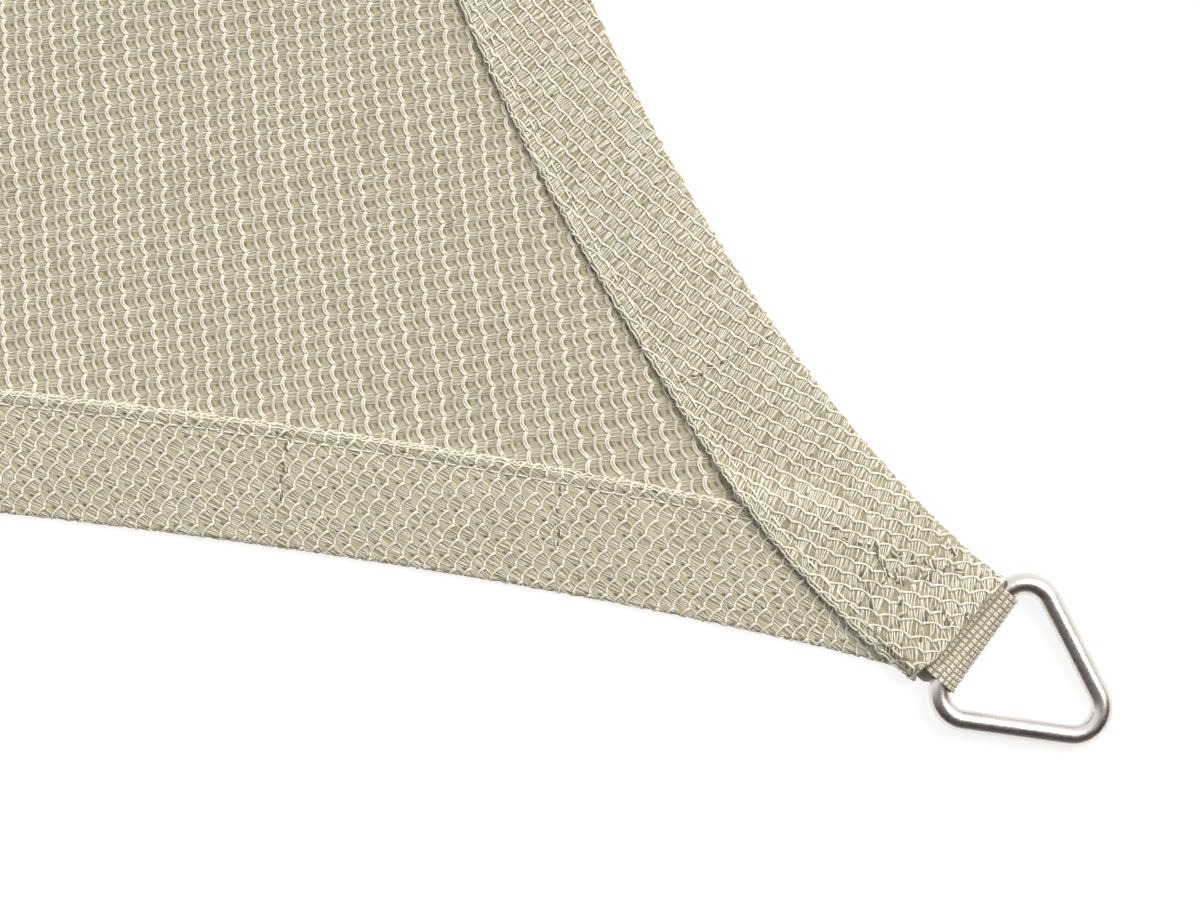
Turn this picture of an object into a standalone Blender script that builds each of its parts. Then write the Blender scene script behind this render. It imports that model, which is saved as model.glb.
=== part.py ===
"""A rectangular shade sail lying flat with its hems up: one knitted sheet with four folded hems,
and at each corner a webbing loop sewn into the hem with a triangular wire ring in it."""

import math

import bmesh
import bpy
from mathutils import Matrix, Vector

# Driving sizes, in metres. X runs along the long edges and Y along the short ones.
SAIL_LENGTH = 3.0  # over the rings
SAIL_WIDTH = 2.0  # over the rings
CLOTH = 0.0010  # thickness of one layer of the knit
GAP = 0.0003  # between layers that lie on each other
HEM_WIDTH = 0.0272
TIP_CUT = 0.0284  # length of the straight cut across each corner
TIP_HEM_EXTRA = 0.0032  # the short hem widens at the corner, to hang down beside the webbing
TIP_HEM_START = 0.020
TIP_HEM_RUN = 0.060
TIP_RUN = 0.030  # the hem's own square direction takes over from the cut's over this length

# How each kind of edge curves in: an even sag over the whole side, a flare towards the
# corners that dies away over flare_run, and a small nip right beside the webbing. Its hem is
# folded from fold_start on; before that the short hem's end stays open over the ring.
EDGES = {
    "long": {"sag": 0.100, "flare": 0.036, "flare_run": 0.182, "nip": 0.0, "fold_start": 0.002},
    "short": {"sag": 0.080, "flare": 0.087, "flare_run": 0.112, "nip": 0.0016, "fold_start": 0.004},
}
NIP_RUN = 0.006
SLOPE_STEP = 0.0005  # half the length over which an edge's direction is read

# Stations along an edge, as distances from its corner, after its first two at 0 and fold_start;
# past the last they are evenly spaced.
NEAR_STATIONS = (0.009, 0.015, 0.022, 0.030, 0.038, 0.047, 0.058, 0.072, 0.090, 0.115, 0.150, 0.200)
FAR_SPACING = 0.105

# The hem's section from its fold inwards: the share of its width, and how far the cloth
# stands above its lowest lie there. The stitches pull it down beside a rolled edge.
HEM_SECTION = (
    {"share": 0.25, "rise": 0.00035},
    {"share": 0.62, "rise": 0.00035},
    {"share": 0.84, "rise": 0.00018},
    {"share": 0.905, "rise": 0.0},
    {"share": 0.96, "rise": 0.0007},
    {"share": 1.0, "rise": 0.00045},
)
FOLD_STEPS = 5
FOLD_OUT = (CLOTH + GAP) / 2  # how far the fold's middle line bulges past the base's border
BASE_MARGIN = 0.004  # width of the strip between the fold and the flat base
PUCKERS = (  # slow unevenness of the hem along its length
    {"wave": 0.170, "height": 0.00025, "shift": 0.7},
    {"wave": 0.071, "height": 0.00020, "shift": 2.1},
)
PUCKER_START = 0.060  # the long hem lies even up to here from a corner, under the short one
PUCKER_RUN = 0.050
LONG_HEM_ROLL = 0.0008  # room for the long hem's rolled rim under the short hem
CROSSING_START = 0.001  # past the long hem's rim the short hem comes down over CROSSING_RUN
CROSSING_RUN = 0.009

# Webbing loop and ring wire.
STRAP_WIDTH = 0.0256
STRAP_ASIDE = 0.0006  # from the cut's middle towards the long edge, clear of the short hem's fold
STRAP = 0.0009  # thickness of the webbing
WIRE = 0.0050  # diameter of the ring's wire
RING_BAR = 0.0223  # straight part of the bar in the webbing
RING_LEG = 0.0243  # straight part of each of the other two sides
RING_BEND = 0.0065  # bend radius of the wire's middle line
RING_YAW = math.radians(5.6)  # the ring hangs a little askew in its loop
BAR_OUT = 0.00275  # from the cloth's cut to the middle of the ring's bar
BAR_ASIDE = 0.0005  # from the cut's middle towards the long edge
LOOP_GAP = 0.0005  # between the wire and the webbing round it
TAIL_LENGTH = 0.024  # webbing sewn in under the hem
TAIL_SPLIT = 0.016  # where its two layers part for the bar
TAIL_EASE_START = 0.002  # past the webbing's tails the short hem comes down over TAIL_EASE
TAIL_EASE = 0.018
SIDE_START = 0.0007  # the short hem comes down beside the webbing this far past it
SIDE_RUN = 0.0026
STRAP_LINES = (-0.5, -0.42, -0.17, 0.17, 0.42, 0.5)  # shares of its width
LOOP_STEPS = 12
RING_BEND_STEPS = 8
RING_SIDES_RESOLUTION = 6  # makes the wire 16-sided

# Worked out from these.
BASE_MIDDLE = CLOTH / 2
HEM_MIDDLE = BASE_MIDDLE + CLOTH + GAP
HEM_START = CLOTH / 2 + FOLD_OUT  # from the outline to where the fold begins
STRAP_LOW = CLOTH + GAP + STRAP / 2
STRAP_HIGH = STRAP_LOW + STRAP + GAP
LOOP_RADIUS = WIRE / 2 + LOOP_GAP + STRAP / 2
BAR_HEIGHT = STRAP_LOW + LOOP_RADIUS
RING_DEPTH = math.sqrt(RING_LEG ** 2 - (RING_BAR / 2) ** 2)  # between bar and far bend
RING_REACH = RING_DEPTH + 2 * RING_BEND  # the wire's middle line, from the bar to its far end
RING_TILT = math.asin((BAR_HEIGHT - WIRE / 2) / RING_REACH)
OUTWARD = Vector((math.sqrt(0.5), -math.sqrt(0.5)))  # out of the corner at +X, -Y
ACROSS = Vector((-math.sqrt(0.5), -math.sqrt(0.5)))  # along its cut, to the long edge


def turned(direction, angle):
    """The plane direction turned by an angle, counter-clockwise seen from above."""
    return Matrix.Rotation(angle, 2) @ direction


def cut_middle():
    """The middle of the cut at the corner at +X, -Y, so that the rings just reach the full size."""
    bend_middle = (RING_DEPTH + RING_BEND) * math.cos(RING_TILT)
    reach = OUTWARD * BAR_OUT + ACROSS * BAR_ASIDE + turned(OUTWARD, RING_YAW) * bend_middle
    round_end = RING_BEND + WIRE / 2
    return Vector((
        SAIL_LENGTH / 2 - reach.x - round_end,
        -SAIL_WIDTH / 2 - reach.y + round_end,
    ))


CUT = cut_middle()
LONG_CORNER = CUT + ACROSS * TIP_CUT / 2
SHORT_CORNER = CUT - ACROSS * TIP_CUT / 2


def smooth(value):
    """0 below 0, 1 above 1, and an even S between."""
    value = min(1.0, max(0.0, value))
    return value * value * (3 - 2 * value)


class Edge:
    """One side of the sail, measured from its start along the straight line to its end."""

    def __init__(self, kind, start, along, inward):
        self.kind = kind
        self.start = start
        self.along = along
        self.inward = inward
        self.chord = 2 * abs(start.dot(along))

    def depth(self, run):
        curve = EDGES[self.kind]
        near = min(run, self.chord - run)
        share = run / self.chord
        bow = 4 * curve["sag"] * share * (1 - share)
        flare = curve["flare"] * (1 - math.exp(-near / curve["flare_run"]))
        return bow + flare + curve["nip"] * (1 - math.exp(-near / NIP_RUN))

    def outline(self, run):
        return self.start + self.along * run + self.inward * self.depth(run)

    def normal(self, run):
        """Square to the edge, into the sail."""
        low = max(0.0, run - SLOPE_STEP)
        high = min(self.chord, run + SLOPE_STEP)
        tangent = (self.outline(high) - self.outline(low)).normalized()
        square = turned(tangent, math.pi / 2)
        return square if square.dot(self.inward) > 0 else -square

    def corner_share(self, run):
        """1 at a corner, falling to 0 where the edge's own directions take over."""
        return 1 - smooth(min(run, self.chord - run) / TIP_RUN)

    def straight_in(self, run):
        """From the nearer corner into the sail, square to its cut."""
        side = self.along if run < self.chord / 2 else -self.along
        return (self.inward + side).normalized()

    def across_hem(self, run):
        """The direction of the hem's width: at a corner it runs beside the webbing on the long
        edge and along the cut on the short one."""
        at_corner = self.straight_in(run)
        if self.kind == "short":
            side = self.along if run < self.chord / 2 else -self.along
            at_corner = (self.inward - side).normalized()
        return self.normal(run).lerp(at_corner, self.corner_share(run)).normalized()

    def place(self, run, inset):
        return self.outline(run) + self.across_hem(run) * inset

    def stations(self):
        near = [0.0, EDGES[self.kind]["fold_start"], *NEAR_STATIONS]
        spare = self.chord - 2 * near[-1]
        count = round(spare / FAR_SPACING)
        middle = [near[-1] + spare * i / count for i in range(1, count)]
        return near + middle + [self.chord - run for run in reversed(near)]


def sail_edges():
    """The four sides in order round the sail, each from its start corner to its end corner."""
    right = Vector((1.0, 0.0))
    up = Vector((0.0, 1.0))
    low_left = Vector((-LONG_CORNER.x, LONG_CORNER.y))
    low_right = SHORT_CORNER.copy()
    return [
        Edge("long", low_left, right, up),
        Edge("short", low_right, up, -right),
        Edge("long", -low_left, -right, -up),
        Edge("short", -low_right, -up, right),
    ]


def at_corner(point):
    """A place seen as if it lay by the corner at +X, -Y: the sail is the same at all four."""
    return Vector((abs(point.x), -abs(point.y)))


def from_long_edge(point):
    """About how far a place near a corner lies from the long edge's outline."""
    run = max(0.0, LONG_CORNER.x - point.x)
    edge = SAIL[0]
    slope = (edge.depth(run + SLOPE_STEP) - edge.depth(run)) / SLOPE_STEP
    return (point.y - LONG_CORNER.y - edge.depth(run)) * math.cos(math.atan(slope))


def bar_out(across):
    """From the cut to the middle line of the ring's bar, or of its bends past the bar's ends."""
    aside = across - BAR_ASIDE
    past = max(0.0, abs(aside) - RING_BAR / 2)
    bend = RING_BEND - math.sqrt(RING_BEND ** 2 - past ** 2)
    return BAR_OUT + aside * math.tan(RING_YAW) + bend


def strap_slope(across):
    """The angle at which the webbing's upper layer climbs from its tail to the bar."""
    run = TAIL_SPLIT + bar_out(across)
    drop = BAR_HEIGHT - STRAP_HIGH
    return math.atan(drop / run) + math.asin(LOOP_RADIUS / math.hypot(run, drop))


def lift_over_strap(point):
    """How far the short hem is lifted by the webbing under it."""
    inwards = -(point - CUT).dot(OUTWARD)
    across = (point - CUT).dot(ACROSS)
    half = STRAP_WIDTH / 2
    held = min(STRAP_ASIDE + half, max(STRAP_ASIDE - half, across))
    tail = STRAP_HIGH + STRAP / 2 + GAP + CLOTH / 2 - HEM_MIDDLE
    climb = max(0.0, TAIL_SPLIT - inwards) * math.tan(strap_slope(held))
    slack = GAP / math.cos(strap_slope(held)) if inwards < TAIL_SPLIT else 0.0
    full = tail + climb + slack
    past = smooth((inwards - TAIL_LENGTH - TAIL_EASE_START) / TAIL_EASE)
    side = smooth((across - STRAP_ASIDE - half - SIDE_START) / SIDE_RUN)
    return full * (1 - past) * (1 - side)


def lift_over_long_hem(point):
    """How far the short hem is lifted where the long hem runs on under it."""
    rolled = CLOTH + GAP + LONG_HEM_ROLL
    return rolled * (1 - smooth((from_long_edge(point) - HEM_WIDTH - CROSSING_START) / CROSSING_RUN))


def pucker(run):
    return sum(row["height"] * (1 + math.sin(2 * math.pi * run / row["wave"] + row["shift"])) / 2
               for row in PUCKERS)


def hem_height(edge, run, place, rise):
    """The height of a hem's middle line; the long hem lies close where the short one crosses it."""
    if edge.kind == "long":
        near = min(run, edge.chord - run)
        return HEM_MIDDLE + rise + pucker(run) * smooth((near - PUCKER_START) / PUCKER_RUN)
    point = at_corner(place)
    lift = max(lift_over_strap(point), lift_over_long_hem(point))
    return HEM_MIDDLE + lift + rise + pucker(run)


def hem_width(edge, run):
    near = min(run, edge.chord - run)
    if edge.kind == "long":
        return HEM_WIDTH
    return HEM_WIDTH + TIP_HEM_EXTRA * (1 - smooth((near - TIP_HEM_START) / TIP_HEM_RUN))


def fold_place(edge, run, step):
    """A point on the fold's middle line, and its height, from the base (step 0) up to the hem."""
    angle = math.pi * step / FOLD_STEPS
    half = (hem_height(edge, run, edge.place(run, HEM_START), 0.0) - BASE_MIDDLE) / 2
    flat = edge.place(run, HEM_START - FOLD_OUT * math.sin(angle))
    return (flat.x, flat.y, BASE_MIDDLE + half * (1 - math.cos(angle)))


def hem_place(edge, run, part):
    inset = HEM_START + (hem_width(edge, run) - HEM_START) * part["share"]
    flat = edge.place(run, inset)
    return (flat.x, flat.y, hem_height(edge, run, flat, part["rise"]))


def add_hem(mesh, edge, stations, border):
    """The fold and the hem's upper layer, as rows of faces from the base's border inwards.

    The fold stops one station short of each corner. The short hem's upper layer runs on to the cut.
    """
    last = len(stations) - 1
    folded = range(1, last)
    laid = folded if edge.kind == "long" else range(last + 1)
    rows = [{i: border[i] for i in folded}]
    for step in range(1, FOLD_STEPS):
        rows.append({i: mesh.verts.new(fold_place(edge, stations[i], step)) for i in folded})
    for part in ({"share": 0.0, "rise": 0.0}, *HEM_SECTION):
        rows.append({i: mesh.verts.new(hem_place(edge, stations[i], part)) for i in laid})
    for near_row, far_row in zip(rows, rows[1:]):
        for i in range(last):
            if {i, i + 1} <= near_row.keys() and {i, i + 1} <= far_row.keys():
                mesh.faces.new((near_row[i], near_row[i + 1], far_row[i + 1], far_row[i]))


def material(name, colour, roughness, metallic):
    made = bpy.data.materials.new(name)
    made.use_nodes = True
    shader = made.node_tree.nodes["Principled BSDF"]
    shader.inputs["Base Color"].default_value = (*colour, 1.0)
    shader.inputs["Roughness"].default_value = roughness
    shader.inputs["Metallic"].default_value = metallic
    return made


def add_object(name, data, made_material, parent):
    thing = bpy.data.objects.new(name, data)
    data.materials.append(made_material)
    bpy.context.scene.collection.objects.link(thing)
    thing.parent = parent
    return thing


def thicken(thing, thickness):
    """Gives a sheet its thickness about its middle, shaded smooth with its flat faces kept flat."""
    for face in thing.data.polygons:
        face.use_smooth = True
    skin = thing.modifiers.new("Thickness", "SOLIDIFY")
    skin.thickness = thickness
    skin.offset = 0.0
    skin.use_quality_normals = True
    thing.modifiers.new("Shading", "WEIGHTED_NORMAL")


def make_cloth(parent):
    """The whole sheet as one piece: a flat base and four hems folded over on top of it."""
    mesh = bmesh.new()
    border = []
    base = []
    for edge in SAIL:
        stations = edge.stations()
        side = []
        for run in stations:
            start = edge.place(run, HEM_START)
            side.append(mesh.verts.new((start.x, start.y, BASE_MIDDLE)))
            push = edge.normal(run) + edge.straight_in(run) * edge.corner_share(run)
            flat = start + push * BASE_MARGIN
            base.append(mesh.verts.new((flat.x, flat.y, BASE_MIDDLE)))
        add_hem(mesh, edge, stations, side)
        border.extend(side)
    mesh.faces.new(base)
    for i in range(len(border)):
        mesh.faces.new((border[i - 1], border[i], base[i], base[i - 1]))
    bmesh.ops.recalc_face_normals(mesh, faces=mesh.faces)
    data = bpy.data.meshes.new("sail_cloth")
    mesh.to_mesh(data)
    mesh.free()
    cloth = add_object("sail_cloth", data, material("knit_cloth", (0.58, 0.53, 0.42), 0.75, 0.0), parent)
    thicken(cloth, CLOTH)


def strap_path(across):
    """The webbing's middle line as (inwards, height), from one tail end round the bar to the other."""
    out = bar_out(across)
    slope = strap_slope(across)
    tail = (TAIL_LENGTH, (TAIL_LENGTH + TAIL_SPLIT) / 2, TAIL_SPLIT)
    turn = []
    for step in range(LOOP_STEPS + 1):
        angle = slope - (math.pi + slope) * step / LOOP_STEPS
        turn.append((-out + LOOP_RADIUS * math.sin(angle), BAR_HEIGHT + LOOP_RADIUS * math.cos(angle)))
    upper = [(inwards, STRAP_HIGH) for inwards in tail]
    lower = [(inwards, STRAP_LOW) for inwards in reversed(tail)]
    return upper + turn + lower


def make_strap(name, sides, made_material, parent):
    """One webbing loop; sides are the signs of the corner's X and Y."""
    mesh = bmesh.new()
    rows = []
    for share in STRAP_LINES:
        across = STRAP_ASIDE + STRAP_WIDTH * share
        row = []
        for inwards, height in strap_path(across):
            flat = CUT - OUTWARD * inwards + ACROSS * across
            row.append(mesh.verts.new((flat.x * sides[0], -flat.y * sides[1], height)))
        rows.append(row)
    for near_row, far_row in zip(rows, rows[1:]):
        for i in range(len(near_row) - 1):
            mesh.faces.new((near_row[i], near_row[i + 1], far_row[i + 1], far_row[i]))
    bmesh.ops.recalc_face_normals(mesh, faces=mesh.faces)
    data = bpy.data.meshes.new(name)
    mesh.to_mesh(data)
    mesh.free()
    strap = add_object(name, data, made_material, parent)
    thicken(strap, STRAP)


def ring_curve():
    """The ring's wire: a bar on the local Y axis and two legs, joined by round bends."""
    curve = bpy.data.curves.new("ring_wire", "CURVE")
    curve.dimensions = "3D"
    curve.bevel_depth = WIRE / 2
    curve.bevel_resolution = RING_SIDES_RESOLUTION
    lean = math.acos(RING_BAR / 2 / RING_LEG)
    bends = (
        {"x": RING_BEND + RING_DEPTH, "y": 0.0, "first": -lean, "last": lean},
        {"x": RING_BEND, "y": RING_BAR / 2, "first": lean, "last": math.pi},
        {"x": RING_BEND, "y": -RING_BAR / 2, "first": math.pi, "last": 2 * math.pi - lean},
    )
    points = []
    for bend in bends:
        for step in range(RING_BEND_STEPS + 1):
            angle = bend["first"] + (bend["last"] - bend["first"]) * step / RING_BEND_STEPS
            points.append(Vector((
                bend["x"] + RING_BEND * math.cos(angle),
                bend["y"] + RING_BEND * math.sin(angle),
            )))
    line = curve.splines.new("POLY")
    line.points.add(len(points) - 1)
    for point, place in zip(line.points, points):
        point.co = (place.x, place.y, 0.0, 1.0)
    line.use_cyclic_u = True
    line.use_smooth = True
    return curve


def place_ring(ring, sides):
    bar = CUT + OUTWARD * BAR_OUT + ACROSS * BAR_ASIDE
    out = turned(OUTWARD, RING_YAW)
    out = Vector((out.x * sides[0], -out.y * sides[1]))
    ring.location = (bar.x * sides[0], -bar.y * sides[1], BAR_HEIGHT)
    ring.rotation_euler = (0.0, RING_TILT, math.atan2(out.y, out.x))


def build():
    for old in list(bpy.data.objects):
        bpy.data.objects.remove(old)
    sail = bpy.data.objects.new("shade_sail", None)
    bpy.context.scene.collection.objects.link(sail)
    make_cloth(sail)
    webbing = material("cream_webbing", (0.55, 0.50, 0.38), 0.6, 0.0)
    steel = material("stainless_steel", (0.62, 0.60, 0.58), 0.28, 1.0)
    wire = ring_curve()
    wire.materials.append(steel)
    corners = (
        {"name": "low_right", "sides": (1, -1)},
        {"name": "low_left", "sides": (-1, -1)},
        {"name": "high_right", "sides": (1, 1)},
        {"name": "high_left", "sides": (-1, 1)},
    )
    for corner in corners:
        make_strap("strap_" + corner["name"], corner["sides"], webbing, sail)
        ring = bpy.data.objects.new("ring_" + corner["name"], wire)
        bpy.context.scene.collection.objects.link(ring)
        ring.parent = sail
        place_ring(ring, corner["sides"])


SAIL = sail_edges()
build()
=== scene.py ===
import math
import bmesh
import bpy
import numpy as np
from mathutils import Matrix, Vector
from mathutils.geometry import delaunay_2d_cdt


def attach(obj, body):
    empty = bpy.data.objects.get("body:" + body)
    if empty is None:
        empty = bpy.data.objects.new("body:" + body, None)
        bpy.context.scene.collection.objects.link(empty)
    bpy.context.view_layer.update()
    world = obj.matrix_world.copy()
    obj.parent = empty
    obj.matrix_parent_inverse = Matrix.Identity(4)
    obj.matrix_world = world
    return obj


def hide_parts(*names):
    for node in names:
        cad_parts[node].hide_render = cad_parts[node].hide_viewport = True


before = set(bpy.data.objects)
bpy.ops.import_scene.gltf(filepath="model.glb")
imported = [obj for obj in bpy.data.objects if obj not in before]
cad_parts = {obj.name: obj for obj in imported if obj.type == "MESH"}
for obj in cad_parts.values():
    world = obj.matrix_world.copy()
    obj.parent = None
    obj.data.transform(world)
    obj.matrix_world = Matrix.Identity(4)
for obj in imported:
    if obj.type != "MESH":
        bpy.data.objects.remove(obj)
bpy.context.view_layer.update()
print("frame loaded:", len(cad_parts), "nodes")

rng = np.random.default_rng(2117)

# the sail's outline and layers, in metres, the same sizes as the solids have
sail = {
    "length": 3.0, "width": 2.0,     # over the rings
    "clothSpace": 0.0010,     # room that one layer takes
    "layerGap": 0.0003,
    "hemWidth": 0.0272,
    "tipCut": 0.0284,     # straight cut across each corner
    "tipHemExtra": 0.0032, "tipHemStart": 0.020, "tipHemRun": 0.060,
    "tipRun": 0.030,
    "nipRun": 0.006,
}
edgeCurves = {
    "long": {"sag": 0.100, "flare": 0.036, "flareRun": 0.182, "nip": 0.0, "foldStart": 0.002},
    "short": {"sag": 0.080, "flare": 0.087, "flareRun": 0.112, "nip": 0.0016, "foldStart": 0.004},
}
hemLift = {
    "puckers": ((0.170, 0.00025, 0.7), (0.071, 0.00020, 2.1)),   # wave, height, shift
    "puckerStart": 0.060, "puckerRun": 0.050,
    "longRoll": 0.0008, "crossingStart": 0.001, "crossingRun": 0.009,
    "tailEaseStart": 0.002, "tailEase": 0.018, "sideStart": 0.0007, "sideRun": 0.0026,
}
webbing = {
    "width": 0.0256, "aside": 0.0006, "room": 0.0009,
    "tail": 0.024, "split": 0.016, "loopGap": 0.0005,
    "thickness": 0.00055, "columns": 20, "rowPitch": 0.0017,
    "floatLength": 0.76,     # a share of the row's pitch
    "floatWidth": 0.00094, "floatHeight": 0.00048, "floatLean": 0.10, "firstRow": 0.0055,
    "floatLift": 0.00008, "floatCrown": 0.00019, "groundLift": -0.000175,
    "strandGap": 0.25, "strandWidth": 0.68,     # shares of the float's width
    "jitter": 0.00005, "lengthSpread": 0.05, "toneSpread": (0.05, 0.07), "lastRow": 0.0020, "endGap": 0.0003,
    "hidden": 0.0180,     # no floats on the tails deep under the hem
    "foldRows": 0.68, "foldFrom": (0.05, 2.5), "foldShadeTone": 0.34,  # finer rows round the bend, toned darker there as painted shade
    # the ground is toned dark, painted shade between the floats; the lower layer's ground is lighter, painted
    # light on it
    "tone": 1.08, "groundShadeTone": 0.10, "lowerLitTone": 0.50,
    "lowerAside": 0.0024, "lowerRun": 0.0035,     # the lower layer lies a little aside
    "easeFrom": -0.0015, "easeRun": 0.003,     # the climb starts with a soft bend
}
ringSizes = {
    "wire": 0.0050, "bar": 0.0223, "leg": 0.0243, "bend": 0.0065, "yaw": math.radians(5.6),
    "barOut": 0.00275, "barAside": 0.0005, "sides": 40, "bendSteps": 22, "stepLength": 0.0016,
}
slopeStep = 0.0005     # for slopes and tangents

oneLayer = sail["clothSpace"] + sail["layerGap"]
baseMiddle, foldOut = sail["clothSpace"] / 2, oneLayer / 2
hemMiddle, hemStart = baseMiddle + oneLayer, baseMiddle + foldOut
strapLow = oneLayer + webbing["room"] / 2
strapHigh = strapLow + webbing["room"] + sail["layerGap"]
loopRadius = ringSizes["wire"] / 2 + webbing["loopGap"] + webbing["room"] / 2
barHeight = strapLow + loopRadius
ringDepth = math.sqrt(ringSizes["leg"] ** 2 - (ringSizes["bar"] / 2) ** 2)
ringTilt = math.asin((barHeight - ringSizes["wire"] / 2) / (ringDepth + 2 * ringSizes["bend"]))
outward = np.array((math.sqrt(0.5), -math.sqrt(0.5)))     # out of the corner at +X, -Y
across = np.array((-math.sqrt(0.5), -math.sqrt(0.5)))     # along its cut, to the long edge


def turned(direction, angle):
    c, s = math.cos(angle), math.sin(angle)
    return np.array((direction[0] * c - direction[1] * s, direction[0] * s + direction[1] * c))


def cutMiddle():
    bend = (ringDepth + ringSizes["bend"]) * math.cos(ringTilt)
    reach = outward * ringSizes["barOut"] + across * ringSizes["barAside"]
    reach = reach + turned(outward, ringSizes["yaw"]) * bend
    roundEnd = ringSizes["bend"] + ringSizes["wire"] / 2
    return np.array((sail["length"] / 2 - reach[0] - roundEnd, -sail["width"] / 2 - reach[1] + roundEnd))


cut = cutMiddle()
longCorner = cut + across * sail["tipCut"] / 2
shortCorner = cut - across * sail["tipCut"] / 2


def smooth(value):
    value = np.clip(value, 0.0, 1.0)
    return value * value * (3 - 2 * value)


def unit(vectors):
    return vectors / np.linalg.norm(vectors, axis=-1, keepdims=True)


def raised(places, height):
    return np.concatenate((places, height[..., None]), -1)


# the four edges, each from its start corner; run is the distance along its straight line
def makeEdge(kind, start, along, inward):
    start, along, inward = (np.array(values, float) for values in (start, along, inward))
    return {"kind": kind, "start": start, "along": along, "inward": inward, "chord": 2 * abs(start @ along)}


def nearEnd(edge, run):
    return np.minimum(run, edge["chord"] - run)


def bowAt(edge, run):
    curve = edgeCurves[edge["kind"]]
    share = np.clip(run / edge["chord"], 0, 1)
    near = np.maximum(nearEnd(edge, run), 0)
    return 4 * curve["sag"] * share * (1 - share) + curve["flare"] * (1 - np.exp(-near / curve["flareRun"]))


def depthAt(edge, run):
    near = np.maximum(nearEnd(edge, run), 0)
    return bowAt(edge, run) + edgeCurves[edge["kind"]]["nip"] * (1 - np.exp(-near / sail["nipRun"]))


def outlineAt(edge, run, depth=None):
    depth = depthAt(edge, run) if depth is None else depth
    return edge["start"] + run[..., None] * edge["along"] + depth[..., None] * edge["inward"]


def squareTo(edge, ahead, behind):
    # the way inwards, square to the line between two places
    tangent = unit(ahead - behind)
    square = np.stack((-tangent[..., 1], tangent[..., 0]), -1)
    return square * np.sign(square @ edge["inward"])[..., None]


def acrossHem(edge, run):
    # square to the edge, turned by 45 degrees at its corners: out of them on long edges, into them on short
    ahead, behind = np.minimum(edge["chord"], run + slopeStep), np.maximum(0.0, run - slopeStep)
    normal = squareTo(edge, outlineAt(edge, ahead), outlineAt(edge, behind))
    side = np.where(run < edge["chord"] / 2, 1.0, -1.0)[..., None] * edge["along"]
    if edge["kind"] == "short":
        side = -side
    share = 1 - smooth(nearEnd(edge, run) / sail["tipRun"])[..., None]
    return unit(normal * (1 - share) + unit(edge["inward"] + side) * share)


def placeAt(edge, run, inset):
    return outlineAt(edge, run) + acrossHem(edge, run) * inset[..., None]


lowLeft = np.array((-longCorner[0], longCorner[1]))
edges = [
    makeEdge("long", lowLeft, (1, 0), (0, 1)),
    makeEdge("short", shortCorner, (0, 1), (-1, 0)),
    makeEdge("long", -lowLeft, (-1, 0), (0, -1)),
    makeEdge("short", -shortCorner, (0, -1), (1, 0)),
]
shownLong = makeEdge("long", longCorner, (-1, 0), (0, 1))     # the same low edge, measured from its corner
shownShort = edges[1]
shown = {"long": shownLong, "short": shownShort}


# heights of the hems' middle line over the straps, over each other and along their length
def asCorner(points):
    return np.stack((np.abs(points[..., 0]), -np.abs(points[..., 1])), -1)


def insideEdge(edge, run, out):
    # out is the distance from the edge's straight line
    run = np.maximum(0.0, run)
    depth = depthAt(edge, run)
    slope = (depthAt(edge, run + slopeStep) - depth) / slopeStep
    return (out - depth) * np.cos(np.arctan(slope))


def fromLongEdge(points):
    return insideEdge(edges[0], longCorner[0] - points[..., 0], points[..., 1] - longCorner[1])


def fromEdges(points):
    fromShort = insideEdge(edges[1], points[..., 1] - shortCorner[1], shortCorner[0] - points[..., 0])
    return np.minimum(fromLongEdge(points), fromShort)


def barOutAt(aside):
    offset = aside - ringSizes["barAside"]
    past = np.clip(np.abs(offset) - ringSizes["bar"] / 2, 0.0, ringSizes["bend"])
    bend = ringSizes["bend"] - np.sqrt(ringSizes["bend"] ** 2 - past ** 2)
    return ringSizes["barOut"] + offset * math.tan(ringSizes["yaw"]) + bend


def strapSlope(aside):
    run = webbing["split"] + barOutAt(aside)
    drop = barHeight - strapHigh
    return np.arctan(drop / run) + np.arcsin(loopRadius / np.hypot(run, drop))


def liftOverStrap(points):
    inwards = -(points - cut) @ outward
    aside = (points - cut) @ across
    half = webbing["width"] / 2
    held = np.clip(aside, webbing["aside"] - half, webbing["aside"] + half)
    slope = strapSlope(held)
    tail = strapHigh + webbing["room"] / 2 + sail["layerGap"] + sail["clothSpace"] / 2 - hemMiddle
    climb = np.maximum(0.0, webbing["split"] - inwards) * np.tan(slope)
    slack = np.where(inwards < webbing["split"], sail["layerGap"] / np.cos(slope), 0.0)
    past = smooth((inwards - webbing["tail"] - hemLift["tailEaseStart"]) / hemLift["tailEase"])
    side = smooth((aside - webbing["aside"] - half - hemLift["sideStart"]) / hemLift["sideRun"])
    return (tail + climb + slack) * (1 - past) * (1 - side)


def liftOverLongHem(points):
    rolled = oneLayer + hemLift["longRoll"]
    beyond = fromLongEdge(points) - sail["hemWidth"] - hemLift["crossingStart"]
    return rolled * (1 - smooth(beyond / hemLift["crossingRun"]))


def swell(turns, shift):
    # a wave between 0 and 1
    return (1 + np.sin(2 * math.pi * turns + shift)) / 2


def puckerAt(run):
    return sum(height * swell(run / wave, shift) for wave, height, shift in hemLift["puckers"])


def hemHeight(edge, run, points):
    if edge["kind"] == "long":
        near = nearEnd(edge, run)
        if edge is shownLong:
            run = edge["chord"] - run
        return hemMiddle + puckerAt(run) * smooth((near - hemLift["puckerStart"]) / hemLift["puckerRun"])
    corner = asCorner(points)
    return hemMiddle + np.maximum(liftOverStrap(corner), liftOverLongHem(corner)) + puckerAt(run)


def hemWidthAt(edge, run):
    if edge["kind"] == "long":
        return np.full_like(run, sail["hemWidth"])
    beyond = smooth((nearEnd(edge, run) - sail["tipHemStart"]) / sail["tipHemRun"])
    return sail["hemWidth"] + sail["tipHemExtra"] * (1 - beyond)


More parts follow.
